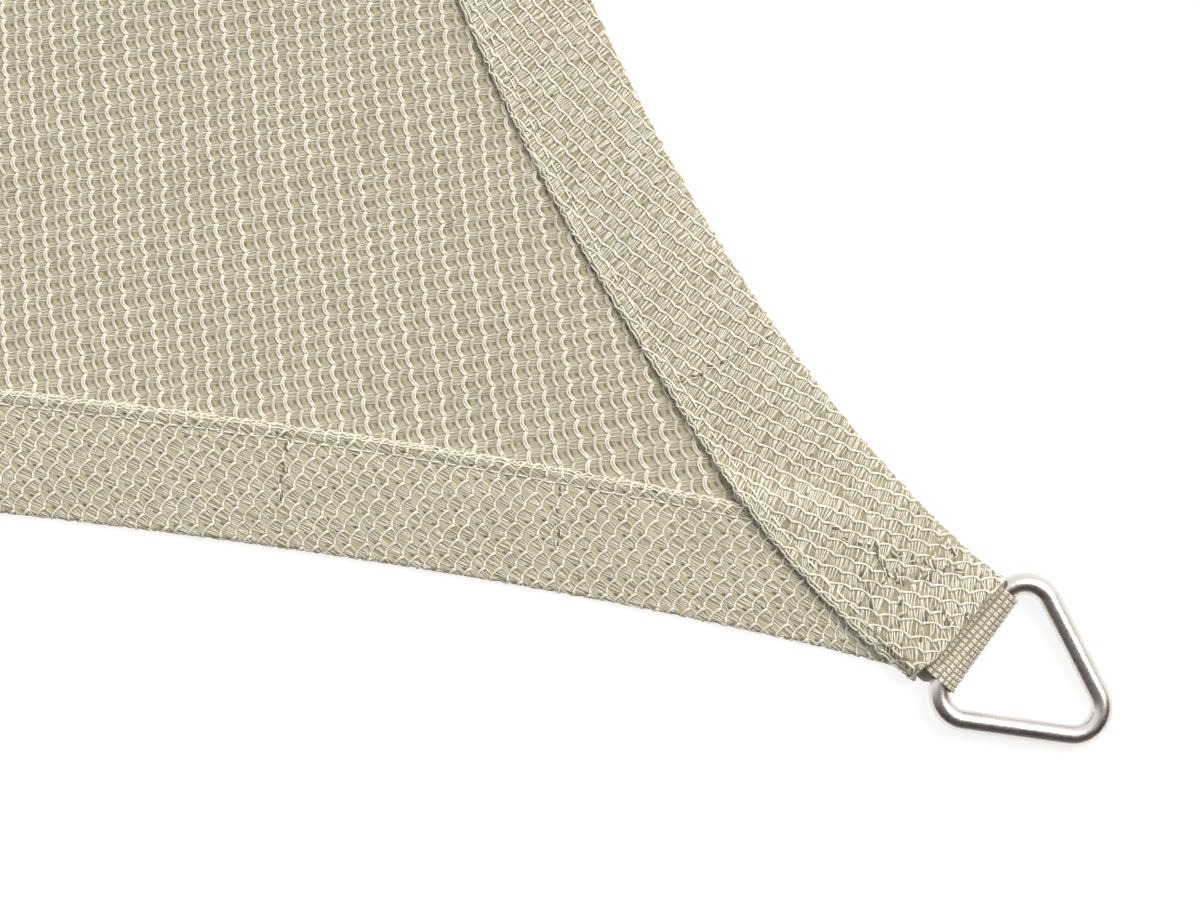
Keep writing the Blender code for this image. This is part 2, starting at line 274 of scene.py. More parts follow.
# the hem's section: share of its width, rise of the cloth there
hemSection = ((0.0, 0.0), (0.25, 0.00035), (0.62, 0.00035), (0.84, 0.0002), (0.905, -0.00005),
              (0.955, 0.00042), (1.0, 0.00030))


def riseAt(share):
    shares, rises = np.array(hemSection).T
    i = np.clip(np.searchsorted(shares, share, side="right") - 1, 0, len(shares) - 2)
    t = smooth((share - shares[i]) / (shares[i + 1] - shares[i]))
    return rises[i] + (rises[i + 1] - rises[i]) * t


rimRoll = 0.0006     # radius of the rolled inner rim
cornerPull = {"reach": 0.0046, "pull": 0.0012, "way": (-0.75, 0.65)}     # the outer corners are rounded off


def softened(points):
    flat = asCorner(points[..., :2])
    near = 1 - smooth(np.linalg.norm(flat - longCorner, axis=-1) / cornerPull["reach"])
    signs = np.sign(points[..., :2] + 1e-12) * np.array((1.0, -1.0))
    moved = points.copy()
    moved[..., :2] += signs * near[..., None] * cornerPull["pull"] * np.array(cornerPull["way"])
    return moved


def hemSurface(edge, run, inset):
    # inset is measured over the cloth from the fold's outermost line; less than 0 is on the underside
    width = hemWidthAt(edge, run)
    quarter = foldOut * math.pi / 2
    turn = np.clip(inset / foldOut, -math.pi / 2, math.pi / 2)
    folded = inset < quarter
    past = np.maximum(0.0, inset - quarter - (width - hemStart))
    rollAngle = np.clip(past / rimRoll, 0, math.pi / 2)
    lowered = np.maximum(0.0, past - rimRoll * math.pi / 2)
    flat = np.minimum(hemStart + inset - quarter, width) + rimRoll * np.sin(rollAngle)
    reach = np.where(folded, hemStart - foldOut * np.cos(turn), flat)
    points = placeAt(edge, run, reach)
    top = hemHeight(edge, run, placeAt(edge, run, np.full_like(run, hemStart)))
    half = (top - baseMiddle) / 2
    share = np.clip((reach - hemStart) / (width - hemStart), 0, 1)
    laid = hemHeight(edge, run, points) + riseAt(share) - rimRoll * (1 - np.cos(rollAngle)) - lowered
    height = np.where(folded, baseMiddle + half * (1 + np.sin(turn)), laid)
    return softened(raised(points, height))


# the knit: wales run along Y on the body; each hem shows the reverse, turned by its fold
knit = {
    "bodyPitch": 0.00274, "bodyCourse": 0.0037, "bodySkew": 0.1135, "bodyShift": (1.27, 0.18),
    "crossing": (-0.0488, 0.0344),     # where the hems' rims meet, from the cut
    "leanAtCrossing": 0.224, "leanX": 0.0968, "leanY": 0.0790,     # the wales lean towards the corner
    "courseScale": 1.055, "courseStretch": 0.332, "courseReach": 0.0317,
    "ripple": (76.4, -123.2),     # radians a metre, a slant ripple of the cloth
    "rippleAcross": (0.00025, -2.406), "rippleAlong": (0.00052, 3.757),
    "rippleEnd": (0.21, 0.05),
    "hemPitch": 0.00288, "hemCourse": 0.0041, "hemSkew": 0.5,
    "longTurn": math.radians(203.8),     # the way across the wales on each hem
    "shortTurn": math.radians(106.0), "shortTurnMore": math.radians(25.0), "shortTurnRun": 0.045,
    "yarnMiddle": (-0.07996, 0.04569), "yarnReach": (0.150, 0.115), "yarnFade": 0.025,
    "leastShare": 0.08, "searchShare": 0.05,     # of yarns, where stitches are made and looked for
    "cornerRun": 0.12,          # up to here from a corner the knit follows the outline without its nip
    "settling": {"body": 14, "place": 14, "hem": 40},     # steps in which the searches settle
}


def fromCrossing(points):
    x = np.abs(points[..., 0]) - cut[0] - knit["crossing"][0]
    y = -np.abs(points[..., 1]) - cut[1] - knit["crossing"][1]
    return x, y


def rippleOf(x, y, which):
    height, shift = knit[which]
    near = 1 - smooth((np.hypot(x, y) - knit["rippleEnd"][0]) / knit["rippleEnd"][1])
    return height * np.sin(knit["ripple"][0] * x + knit["ripple"][1] * y + shift) * near


def bodyLean(points):
    x, y = fromCrossing(points)
    lean = knit["leanAtCrossing"] * knit["leanY"] * np.exp(x / knit["leanX"] - y / knit["leanY"])
    return lean + rippleOf(x, y, "rippleAcross")


def stretchedTo(y):
    # the courses lie closer near the long edges; y is the distance from the crossing's level
    near = np.exp(-np.maximum(y, -0.015) / knit["courseReach"])
    return knit["courseScale"] * y + knit["courseStretch"] * knit["courseReach"] * near


toMiddle = stretchedTo(-cut[1] - knit["crossing"][1])


def bodyToKnit(points):
    wale = (points[..., 0] - np.sign(points[..., 0]) * bodyLean(points)) / knit["bodyPitch"]
    x, y = fromCrossing(points)
    down = toMiddle - stretchedTo(y) - rippleOf(x, y, "rippleAlong")
    course = -np.sign(points[..., 1]) * down / knit["bodyCourse"] + knit["bodySkew"] * wale
    return wale - knit["bodyShift"][0], course - knit["bodyShift"][1]


nearTable = np.linspace(-0.09, 0.5, 2400)
stretchTable = stretchedTo(nearTable)


def knitToBody(wale, course):
    # only for the corner at +X, -Y, where the yarns are made
    wale, course = wale + knit["bodyShift"][0], course + knit["bodyShift"][1]
    stretched = toMiddle - (course - knit["bodySkew"] * wale) * knit["bodyCourse"]
    straight = wale * knit["bodyPitch"]
    level = cut[1] + knit["crossing"][1]
    points = np.stack((straight, level + np.interp(stretched, stretchTable, nearTable)), -1)
    for _ in range(knit["settling"]["body"]):
        x, y = fromCrossing(points)
        y = np.interp(stretched - rippleOf(x, y, "rippleAlong"), stretchTable, nearTable)
        points = np.stack((straight + bodyLean(points), level + y), -1)
    return points


def hemTurnAt(edge, length):
    if edge["kind"] == "long":
        return np.full_like(length, knit["longTurn"])
    return knit["shortTurn"] + knit["shortTurnMore"] * np.exp(-length / knit["shortTurnRun"])


def plainPlace(edge, run, inset):
    # the outline without its corner nip, drawn on straight past the corner
    curve = edgeCurves[edge["kind"]]
    slope = 4 * curve["sag"] / edge["chord"] + curve["flare"] / curve["flareRun"]
    here, ahead, behind = (outlineAt(edge, at, bowAt(edge, at) + slope * np.minimum(at, 0) + curve["nip"])
                           for at in (run, run + slopeStep, run - slopeStep))
    return here + squareTo(edge, ahead, behind) * inset[..., None]


def crossed(a, b):
    return a[..., 0] * b[..., 1] - a[..., 1] * b[..., 0]


def solved(place, edge, wanted, run, inset):
    # finds the run and inset whose place is the wanted point
    small, least, most = 0.0002, 0.15, 0.005
    for _ in range(knit["settling"]["place"]):
        here = place(edge, run, inset)
        byRun = (place(edge, run + small, inset) - here) / small
        byInset = (place(edge, run, inset + small) - here) / small
        area = crossed(byRun, byInset)
        area = np.where(np.abs(area) < least, least * np.sign(area + 1e-12), area)
        run = run + np.clip(crossed(wanted - here, byInset) / area, -most, most)
        inset = inset + np.clip(crossed(byRun, wanted - here) / area, -most, most)
    return run, inset


def summedFrom(places, steps):
    # running sums of the steps, 0 where places is 0
    sums = np.concatenate(((0.0,), np.cumsum(steps)))
    return sums - np.interp(0.0, places, sums)


def hemTables(edge):
    # arc length from the corner, and the sums of the turned directions along it
    run = np.concatenate((np.arange(-0.03, 0.40, 0.0005), np.linspace(0.4, edge["chord"] / 2, 300)))
    if edge["kind"] == "short":
        steps = np.linalg.norm(np.diff(plainPlace(edge, run, 0 * run), axis=0), axis=1)
    else:
        steps = np.linalg.norm(np.diff(outlineAt(edge, np.maximum(run, 0.0)), axis=0), axis=1)
        steps = np.where(run[1:] <= 1e-9, np.diff(run) * 1.2, steps)
    length = summedFrom(run, steps)
    turn = hemTurnAt(edge, np.maximum(length, 0.0))
    middle = (turn[1:] + turn[:-1]) / 2
    return {"run": run, "length": length, "u": summedFrom(length, np.cos(middle) * np.diff(length)),
            "t": summedFrom(length, -np.sin(middle) * np.diff(length))}


hemMaps = {kind: hemTables(edge) for kind, edge in shown.items()}


def hemFlat(edge, length, inset):
    maps = hemMaps[edge["kind"]]
    turn = hemTurnAt(edge, np.maximum(length, 0.0))
    u = np.interp(length, maps["length"], maps["u"]) + inset * np.sin(turn)
    t = np.interp(length, maps["length"], maps["t"]) + inset * np.cos(turn)
    return u, t, turn


def atCorner(edge, place, wantedPlace, run, inset):
    # near a short hem's corner the place drawn one way is found again the other way
    if edge["kind"] == "long":
        return run, inset
    wanted = wantedPlace(edge, run, inset)
    newRun, newInset = solved(place, edge, wanted, np.maximum(run, 0.0), inset)
    near = run < knit["cornerRun"]
    return np.where(near, newRun, run), np.where(near, newInset, inset)


def hemToKnit(edge, run, inset):
    maps = hemMaps[edge["kind"]]
    run, inset = atCorner(edge, plainPlace, placeAt, run, inset)
    u, t, _ = hemFlat(edge, np.interp(run, maps["run"], maps["length"]), inset)
    wale = u / knit["hemPitch"]
    return wale, t / knit["hemCourse"] + knit["hemSkew"] * wale


def knitToHem(edge, wale, course):
    # gives the run along the edge and the inset from it
    wantedU = wale * knit["hemPitch"]
    wantedT = (course - knit["hemSkew"] * wale) * knit["hemCourse"]
    length, inset = np.full_like(wantedU, 0.06), np.full_like(wantedU, 0.014)
    for _ in range(knit["settling"]["hem"]):
        u, t, turn = hemFlat(edge, length, inset)
        missU, missT = wantedU - u, wantedT - t
        length = np.clip(length + 0.8 * (np.cos(turn) * missU - np.sin(turn) * missT), -0.03, 0.42)
        inset = inset + 0.8 * (np.sin(turn) * missU + np.cos(turn) * missT)
    maps = hemMaps[edge["kind"]]
    return atCorner(edge, placeAt, plainPlace, np.interp(length, maps["length"], maps["run"]), inset)


def yarnShare(points):
    # 1 where the cloth has real yarns, falling to 0 round that area
    aside = points[..., :2] - cut - np.array(knit["yarnMiddle"])
    over = np.abs(aside) - np.array(knit["yarnReach"])
    past = np.maximum(over[..., 0], over[..., 1])
    return 1 - smooth(past / knit["yarnFade"])


def addObject(name, data):
    thing = bpy.data.objects.new(name, data)
    bpy.context.scene.collection.objects.link(thing)
    return thing


# meshes are made straight from arrays of corners
def makeMesh(name, points, quads, triangles=(), layers=None, smoothShading=True):
    mesh = bpy.data.meshes.new(name)
    quads = np.asarray(quads, np.int32).reshape(-1, 4)
    triangles = np.asarray(triangles, np.int32).reshape(-1, 3)
    loops = np.concatenate((quads.ravel(), triangles.ravel()))
    starts = np.concatenate((np.arange(len(quads)) * 4, len(quads) * 4 + np.arange(len(triangles)) * 3))
    mesh.vertices.add(len(points))
    mesh.vertices.foreach_set("co", np.asarray(points, np.float32).ravel())
    mesh.loops.add(len(loops))
    mesh.loops.foreach_set("vertex_index", loops)
    mesh.polygons.add(len(starts))
    mesh.polygons.foreach_set("loop_start", starts.astype(np.int32))
    mesh.update(calc_edges=True)
    if smoothShading:
        mesh.shade_smooth()
    for layer, values in (layers or {}).items():
        kind, entry = ("FLOAT", "value") if np.ndim(values) == 1 else ("FLOAT_VECTOR", "vector")
        data = mesh.attributes.new(layer, kind, "POINT").data
        data.foreach_set(entry, np.asarray(values, np.float32).ravel())
    return addObject(name, mesh)


def tubes(points, ups, halfWidth, halfHeight, tone, sides=4, trim=0):
    # closed tubes along many lines at once: points and ups are (lines, steps, 3)
    # the first and last `trim` steps only give the tube its direction
    # tone has one value for each line, or one for each step
    along = unit(np.gradient(points, axis=1))
    aside = unit(np.cross(ups, along))
    over = np.cross(along, aside)
    if trim:
        points, aside, over = (values[:, trim:-trim] for values in (points, aside, over))
    lines, steps = points.shape[:2]
    wide, high = (np.broadcast_to(half, (lines, steps))[..., None, None] for half in (halfWidth, halfHeight))
    angles = math.pi / 2 + 2 * math.pi * np.arange(sides) / sides + (math.pi / 4 if sides == 4 else 0)
    ring = points[:, :, None] + aside[:, :, None] * wide * np.cos(angles)[:, None] \
        + over[:, :, None] * high * np.sin(angles)[:, None]
    index = np.arange(lines * steps * sides).reshape(lines, steps, sides)
    here, onward = index[:, :-1], index[:, 1:]
    quads = np.stack((here, np.roll(here, -1, 2), np.roll(onward, -1, 2), onward), -1).reshape(-1, 4)
    caps = [np.stack((ends[:, 0], ends[:, i], ends[:, i + 1]), -1)
            for ends in (index[:, 0, ::-1], index[:, -1]) for i in range(1, sides - 1)]
    tone = np.repeat(np.ravel(tone), index.size // np.size(tone))
    return ring.reshape(-1, 3), quads, np.concatenate(caps), tone


def makeYarns(name, parts):
    # one piece from several sets of tubes
    starts = np.cumsum([0] + [len(part[0]) for part in parts])
    points, tone = (np.concatenate([part[i] for part in parts]) for i in (0, 3))
    quads, caps = (np.concatenate([part[i] + start for part, start in zip(parts, starts)]) for i in (1, 2))
    return makeMesh("yarn_" + name, points, quads, caps, {"tone": tone})


# the cloth itself: one thin sheet with its hems folded over, dense at the corner that is seen
cloth = {
    "thickness": 0.00035,
    "closeSpacing": 0.0017, "closeReach": 0.060, "wideSpacing": 0.0036, "wideReach": 0.262,
    "farStations": (0.005, 0.009, 0.013, 0.018, 0.024, 0.031, 0.040, 0.050, 0.062, 0.076, 0.092, 0.112,
                    0.135, 0.165, 0.200),
    "farSpacing": 0.060, "rimSpacing": 0.004,
    "hemShares": (0.04, 0.11, 0.2, 0.3, 0.42, 0.54, 0.66, 0.75, 0.81, 0.855, 0.885, 0.91, 0.935, 0.96,
                  0.985, 1.0),
    # waves a metre along X and along Y, height, shift
    "waves": ((3.1, 4.0, 0.00012, 0.4), (-5.2, 2.3, 0.00010, 1.9), (1.2, -9.0, 0.00007, 3.3)),
    "waveStart": 0.004, "waveRun": 0.050, "rimDrop": 0.0006,
}


def nearStations(edge, dense):
    first = [0.0, edgeCurves[edge["kind"]]["foldStart"]]
    if not dense:
        return first + list(cloth["farStations"])
    close = np.arange(first[1] + 0.0015, cloth["closeReach"], cloth["closeSpacing"])
    return first + list(close) + list(np.arange(0.0615, cloth["wideReach"], cloth["wideSpacing"]))


def stationsOf(edge):
    start = nearStations(edge, edge is edges[1])
    end = nearStations(edge, edge is edges[0])
    spare = edge["chord"] - start[-1] - end[-1]
    count = round(spare / cloth["farSpacing"])
    middle = [start[-1] + spare * i / count for i in range(1, count)]
    return np.array(start + middle + [edge["chord"] - run for run in reversed(end)])


def baseHeight(points):
    # the body lies all but flat, with slow waves that fade out towards the hems
    inside = fromEdges(asCorner(points)) - sail["hemWidth"] - cloth["waveStart"]
    waves = sum(height * swell(points @ np.array((a, b)), shift) for a, b, height, shift in cloth["waves"])
    return baseMiddle + waves * smooth(inside / cloth["waveRun"])


def gradedLine(half, dense):
    # positions from -half to half, closer together near both ends, and closest at the dense one
    def fromEnd(step, grow, limit=0.085):
        reach, places = 0.012, []
        while reach < half:
            places.append(reach)
            step = min(limit, step * grow)
            reach += step
        return places
    sparse = fromEnd(0.010, 1.16)
    close = [0.010 + 0.0065 * i for i in range(40)]
    close += [reach for reach in fromEnd(0.007, 1.1) if reach > 0.276]
    low, high = (close, sparse) if dense < 0 else (sparse, close)
    return np.array([-half + reach for reach in low] + [half - reach for reach in reversed(high)])


def makeCloth():
    points, quads, counts, real, borders = [], [], [], [], []

    def keep(rows, wale, course):
        start = sum(len(kept) for kept in points)
        points.append(rows)
        counts.append(np.stack((wale, course, 0 * wale), -1))
        real.append(yarnShare(rows))
        return start + np.arange(len(rows))

    fold, roll = foldOut * math.pi / 2, rimRoll * math.pi / 2
    for number, edge in enumerate(edges):
        run = stationsOf(edge)
        width = hemWidthAt(edge, run) - hemStart
        insets = [foldOut * (-math.pi / 2 + math.pi * step / 8) + 0 * run for step in range(9)]
        insets += [fold + width * share for share in cloth["hemShares"]]
        insets += [fold + width + roll * step / 3 for step in (1, 2, 3)]
        insets.append(fold + width + roll + cloth["rimDrop"])
        for row, inset in enumerate(insets):
            whole = row == 0 or (row >= 8 and edge["kind"] == "short")     # short hems lie over the long ones
            used = slice(None) if whole else slice(1, -1)
            places = hemSurface(edge, run[used], inset[used])
            wale, course = hemToKnit(shown[edge["kind"]], nearEnd(edge, run)[used], inset[used])
            if row == 0:
                places[:, 2] = baseMiddle
            index = keep(places, wale + 0.5 * number, course)
            if row == 0:
                borders.append(index)
                below = index[1:-1]
                continue
            above = index[1:-1] if len(index) > len(below) else index
            quads.append(np.stack((below[1:], below[:-1], above[:-1], above[1:]), -1))
            below = index
    border = np.concatenate(borders)
    outline = np.concatenate(points)[border]

    xs, ys = gradedLine(sail["length"] / 2, 1), gradedLine(sail["width"] / 2, -1)
    grid = np.stack(np.meshgrid(xs, ys), -1).reshape(-1, 2)
    flat = asCorner(grid)
    spacing = cloth["rimSpacing"]
    grid = grid[(fromEdges(flat) > spacing) & (-(flat - cut) @ outward > spacing)]
    filled = delaunay_2d_cdt([Vector(place) for place in np.concatenate((outline[:, :2], grid))], [],
                             [list(range(len(outline)))], 1, 1e-7)
    corner = np.full(len(filled[0]), -1)
    for i, sources in enumerate(filled[3]):
        known = [source for source in sources if source < len(outline)]
        if known:
            corner[i] = border[known[0]]
    laidOut = np.array([tuple(place) for place in filled[0]])[corner < 0]
    corner[corner < 0] = keep(raised(laidOut, baseHeight(laidOut)), *bodyToKnit(laidOut))

    knitted = np.concatenate(counts)
    knitted[border, :2] = np.stack(bodyToKnit(outline), -1)
    thing = makeMesh("sailCloth", np.concatenate(points), np.concatenate(quads), corner[np.array(filled[2])],
                     {"knit": knitted, "real": np.concatenate(real)})
    work = bmesh.new()
    work.from_mesh(thing.data)
    bmesh.ops.recalc_face_normals(work, faces=work.faces)
    if sum(face.normal.z * face.calc_area() for face in work.faces) < 0:
        bmesh.ops.reverse_faces(work, faces=work.faces)
    work.to_mesh(thing.data)
    work.free()
    thick = thing.modifiers.new("thickness", "SOLIDIFY")
    thick.thickness = cloth["thickness"]
    thick.offset = 0.0
    thick.material_offset = 1
    return thing


sailCloth = makeCloth()
print("cloth made:", len(sailCloth.data.polygons), "faces")


def strapAt(aside, length):
    # a place on the webbing loop: aside along the cut, length from the upper tail's end round to the lower
    out, slope = barOutAt(aside), strapSlope(aside)
    tangentIn = -out + loopRadius * np.sin(slope)
    tangentUp = barHeight + loopRadius * np.cos(slope)
    tail = webbing["tail"] - webbing["split"]
    climb = np.hypot(webbing["split"] - tangentIn, tangentUp - strapHigh)
    turn = loopRadius * (math.pi + slope)
    share = np.clip((length - tail) / climb, 0, 1)
    angle = slope - np.clip((length - tail - climb) / loopRadius, 0, math.pi + slope)
    stages = [length < tail, length < tail + climb, length < tail + climb + turn]     # then the lower layer
    onClimb = webbing["split"] + (tangentIn - webbing["split"]) * share
    inwards = np.select(stages, [webbing["tail"] - length, onClimb, -out + loopRadius * np.sin(angle)],
                        -out + length - tail - climb - turn)
    height = np.select(stages, [strapHigh, strapHigh + (tangentUp - strapHigh) * share,
                                barHeight + loopRadius * np.cos(angle)], strapLow)
    ease = smooth((length - tail - webbing["easeFrom"]) / webbing["easeRun"])
    angle = np.select(stages[1:], [slope * ease, angle], -math.pi)
    return inwards, height, angle, tail + climb + turn + out + webbing["tail"]


def strapPoint(aside, length, lift):
    inwards, height, angle, _ = strapAt(aside, length)
    inwards = inwards + np.sin(angle) * lift
    height = height + np.cos(angle) * lift
    below = smooth((inwards + barOutAt(aside)) / webbing["lowerRun"]) * (angle < -3.0)
    aside = aside + webbing["lowerAside"] * below
    flat = cut - inwards[..., None] * outward + aside[..., None] * across
    return raised(flat, height), raised(-np.sin(angle)[..., None] * outward, np.cos(angle))


def strapBand():
    # the woven ground: a closed flat band with rounded selvedges
    widths = np.array((-0.5, -0.49, -0.47, -0.42, -0.3, -0.15, 0.0, 0.15, 0.3, 0.42, 0.47, 0.49, 0.5))
    halves = np.array((0.2, 0.62, 0.88, 1, 1, 1, 1, 1, 1, 1, 0.88, 0.62, 0.2)) * webbing["thickness"] / 2
    aside = webbing["aside"] + webbing["width"] * widths
    aside = np.concatenate((aside, aside[::-1]))
    lift = np.concatenate((halves, -halves)) + webbing["groundLift"]     # under the floats
    length = strapAt(aside, np.zeros_like(aside))[3] * np.linspace(0, 1, 90)[:, None]
    points, _ = strapPoint(np.broadcast_to(aside, length.shape), length, np.broadcast_to(lift, length.shape))
    count = len(aside)
    index = np.arange(points.shape[0] * count).reshape(-1, count)
    here, onward = index[:-1], index[1:]
    quads = np.stack((here, onward, np.roll(onward, -1, 1), np.roll(here, -1, 1)), -1).reshape(-1, 4)
    half = count // 2
    ends = []
    for row, way in ((index[0], 1), (index[-1], -1)):
        strip = (row[:half - 1], row[1:half], row[count - 2:half - 1:-1], row[count - 1:half:-1])
        ends.append(np.stack(strip, -1)[:, ::way])
    return points.reshape(-1, 3), np.concatenate([quads] + ends)


def strapFloats():
    # the warp floats that show as rows of bright dashes, each of two strands
    pitch = webbing["width"] / webbing["columns"]
    columns = webbing["aside"] - webbing["width"] / 2 + pitch * (np.arange(webbing["columns"]) + 0.5)
    middleOnly = np.array([webbing["aside"]])
    total = strapAt(middleOnly, np.zeros(1))[3][0]
    shape = np.array((-0.52, -0.40, 0.0, 0.40, 0.52))
    asides, lengths, tones = [], [], []
    start, lean = webbing["firstRow"], webbing["floatLean"]
    strandAside = webbing["floatWidth"] * webbing["strandGap"]
    while start < total - webbing["lastRow"]:
        bent = -strapAt(middleOnly, np.array([start]))[2][0]
        inFold = webbing["foldFrom"][0] < bent < webbing["foldFrom"][1]
        rowPitch = webbing["rowPitch"] * (webbing["foldRows"] if inFold else 1.0)
        middle = start + rowPitch / 2
        start += rowPitch
        lean = -lean
        if not webbing["hidden"] < middle < total - webbing["hidden"]:
            continue
        for column in columns:
            jitter = rng.normal(0, webbing["jitter"], 2)
            bright = rng.normal(0.0, 1.0)
            for strand in (-1, 1):
                run = shape * webbing["floatLength"] * rowPitch * (1 + webbing["lengthSpread"] * rng.normal())
                asides.append(column + jitter[0] + strand * strandAside + run * lean)
                lengths.append(middle + jitter[1] + run)
                tones.append(webbing["tone"] + np.array((bright, rng.normal())) @ webbing["toneSpread"])
    aside, length = np.array(asides), np.clip(lengths, 0.0, total - webbing["endGap"])
    crown = np.array((-0.5, 0.4, 1.0, 0.4, -0.5))
    points, ups = strapPoint(aside, length, webbing["floatLift"] + crown * webbing["floatCrown"])
    thick = np.array((0.45, 0.9, 1.0, 0.9, 0.45))
    # painted shade: the floats are toned darker where the band turns steeply away round the bend
    angle = strapAt(aside[:, 2], length[:, 2])[2]
    inFold = smooth((-angle - 0.25) / 0.9) * smooth((angle + 2.8) / 0.5)
    return tubes(points, ups, thick * webbing["floatWidth"] * webbing["strandWidth"] / 2,
                 thick * webbing["floatHeight"] / 2, np.array(tones) - webbing["foldShadeTone"] * inFold, 3)


def makeStrap(name, signs):
    points, quads = strapBand()
    ring, more, caps, tone = strapFloats()
    everything = np.concatenate((points, ring)) * np.array((signs[0], -signs[1], 1))
    quads, caps = np.concatenate((quads, more + len(points))), caps + len(points)
    if signs[0] * -signs[1] < 0:
        quads, caps = quads[:, ::-1], caps[:, ::-1]
    # painted shade and light: the upper ground is dark between the floats, the lower layer lighter
    lower = points[:, 2] < strapLow + webbing["thickness"]
    ground = np.where(lower, webbing["lowerLitTone"], webbing["groundShadeTone"])
    return makeMesh(name, everything, quads, caps, {"tone": np.concatenate((ground, tone))})


def makeRing(name, signs):
    # one closed round wire, bent as the solid is, with more sides
    lean = math.acos(ringSizes["bar"] / 2 / ringSizes["leg"])
    bend, bar, sides = ringSizes["bend"], ringSizes["bar"], ringSizes["sides"]
    bends = ((bend + ringDepth, 0.0, -lean, lean), (bend, bar / 2, lean, math.pi),
             (bend, -bar / 2, math.pi, 2 * math.pi - lean))
    bent = [np.array((x + bend * math.cos(angle), y + bend * math.sin(angle), 0.0))
            for x, y, first, last in bends for angle in np.linspace(first, last, ringSizes["bendSteps"])]
    line = []
    for here, onward in zip(bent, bent[1:] + bent[:1]):
        steps = max(1, int(np.linalg.norm(onward - here) / ringSizes["stepLength"]))
        line.extend(here + (onward - here) * i / steps for i in range(steps))
    line = np.array(line)
    along = unit(np.roll(line, -1, 0) - np.roll(line, 1, 0))
    aside = np.stack((along[:, 1], -along[:, 0], 0 * along[:, 0]), -1)
    angles = (2 * math.pi * np.arange(sides) / sides)[:, None]
    section = aside[:, None] * np.cos(angles) + np.array((0, 0, 1.0)) * np.sin(angles)
    rows = line[:, None] + ringSizes["wire"] / 2 * section
    index = np.arange(len(line) * sides).reshape(len(line), sides)
    onward = np.roll(index, -1, 0)
    quads = np.stack((index, np.roll(index, -1, 1), np.roll(onward, -1, 1), onward), -1).reshape(-1, 4)
    mirror = np.array((signs[0], -signs[1]))
    place = mirror * (cut + outward * ringSizes["barOut"] + across * ringSizes["barAside"])
    out = mirror * turned(outward, ringSizes["yaw"])
    rotation = Matrix.Rotation(math.atan2(out[1], out[0]), 3, "Z") @ Matrix.Rotation(ringTilt, 3, "Y")
    return makeMesh(name, rows.reshape(-1, 3) @ np.array(rotation).T + np.array((*place, barHeight)), quads)


corners = {"low_right": (1, -1), "low_left": (-1, -1), "high_right": (1, 1), "high_left": (-1, 1)}
straps = {corner: makeStrap("webbing_" + corner, signs) for corner, signs in corners.items()}
rings = {corner: makeRing("steel_ring_" + corner, signs) for corner, signs in corners.items()}
print("webbing and rings made:", len(straps) + len(rings), "pieces")



# materials
colours = {
    "threadBright": (0.93, 0.885, 0.765), "threadDark": (0.40, 0.35, 0.25),
    # ground and reverseGround: the sheet under the real yarns, toned darker as painted shade of the yarns
    # beneath; gap: painted shade in holes, slots and notches
    "ground": (0.50, 0.455, 0.325), "reverseGround": (0.46, 0.415, 0.29), "gap": (0.20, 0.17, 0.105),
    "webbingBright": (0.96, 0.92, 0.80), "webbingDark": (0.30, 0.255, 0.165),
    # where the yarns are only drawn: between the threads, darker as painted shade, and on them
    "drawnFace": ((0.36, 0.325, 0.23), (0.465, 0.42, 0.31)),
    "drawnReverse": ((0.445, 0.40, 0.295), (0.55, 0.505, 0.39)),
    "steel": ((0.68, 0.635, 0.60), (0.83, 0.795, 0.765)),
}


def setInputs(tree, node, values):
    # each input is linked to a socket or set to a value
    for key, value in values.items():
        if isinstance(value, bpy.types.NodeSocket):
            tree.links.new(value, node.inputs[key])
        else:
            node.inputs[key].default_value = value
    return node


def nodeMaker(tree):
    def node(kind, values=None, **settings):
        added = tree.nodes.new("ShaderNode" + kind)
        for key, value in settings.items():
            setattr(added, key, value)
        return setInputs(tree, added, values or {})
    return node


def mix(node, share, low, high):
    low, high = (end if isinstance(end, bpy.types.NodeSocket) else (*end, 1.0) for end in (low, high))
    return node("Mix", {0: share, 6: low, 7: high}, data_type="RGBA").outputs[2]


def noise(node, scale, detail, **more):
    place = node("TexCoord").outputs["Object"]
    return node("TexNoise", {"Vector": place, "Scale": scale, "Detail": detail, **more}).outputs["Fac"]


def maths(node, kind, a, b=0.0, c=0.0, clamp=False):
    return node("Math", {0: a, 1: b, 2: c}, operation=kind, use_clamp=clamp).outputs[0]


def attribute(node, name):
    return node("Attribute", attribute_name=name).outputs["Fac"]


def newMaterial(name):
    made = bpy.data.materials.new(name)
    made.use_nodes = True
    return made, nodeMaker(made.node_tree)


def dress(made, node, colour, bump, **plain):
    # bump is (height, strength, distance)
    values = {"Base Color": colour, **{key.replace("_", " "): value for key, value in plain.items()}}
    if bump:
        values["Normal"] = node("Bump", dict(zip(("Height", "Strength", "Distance"), bump))).outputs["Normal"]
    setInputs(made.node_tree, made.node_tree.nodes["Principled BSDF"], values)
    return made


def threadMaterial(name, dark, bright, roughness):
    # fine twisted plastic thread: its tone is kept in the mesh, painted shade and light included in places,
    # with fibre grain and slow dirt on top
    made, node = newMaterial(name)
    grain, patch = noise(node, 4200.0, 2.0), noise(node, 60.0, 3.0)
    mixed = maths(node, "MULTIPLY_ADD", grain, 0.24, attribute(node, "tone"))
    mixed = maths(node, "MULTIPLY_ADD", patch, 0.16, mixed)
    colour = mix(node, maths(node, "SUBTRACT", mixed, 0.20, clamp=True), colours[dark], colours[bright])
    return dress(made, node, colour, (grain, 0.35, 0.00006), Roughness=roughness, Specular_IOR_Level=0.35,
                 Sheen_Weight=0.15, Sheen_Roughness=0.5)


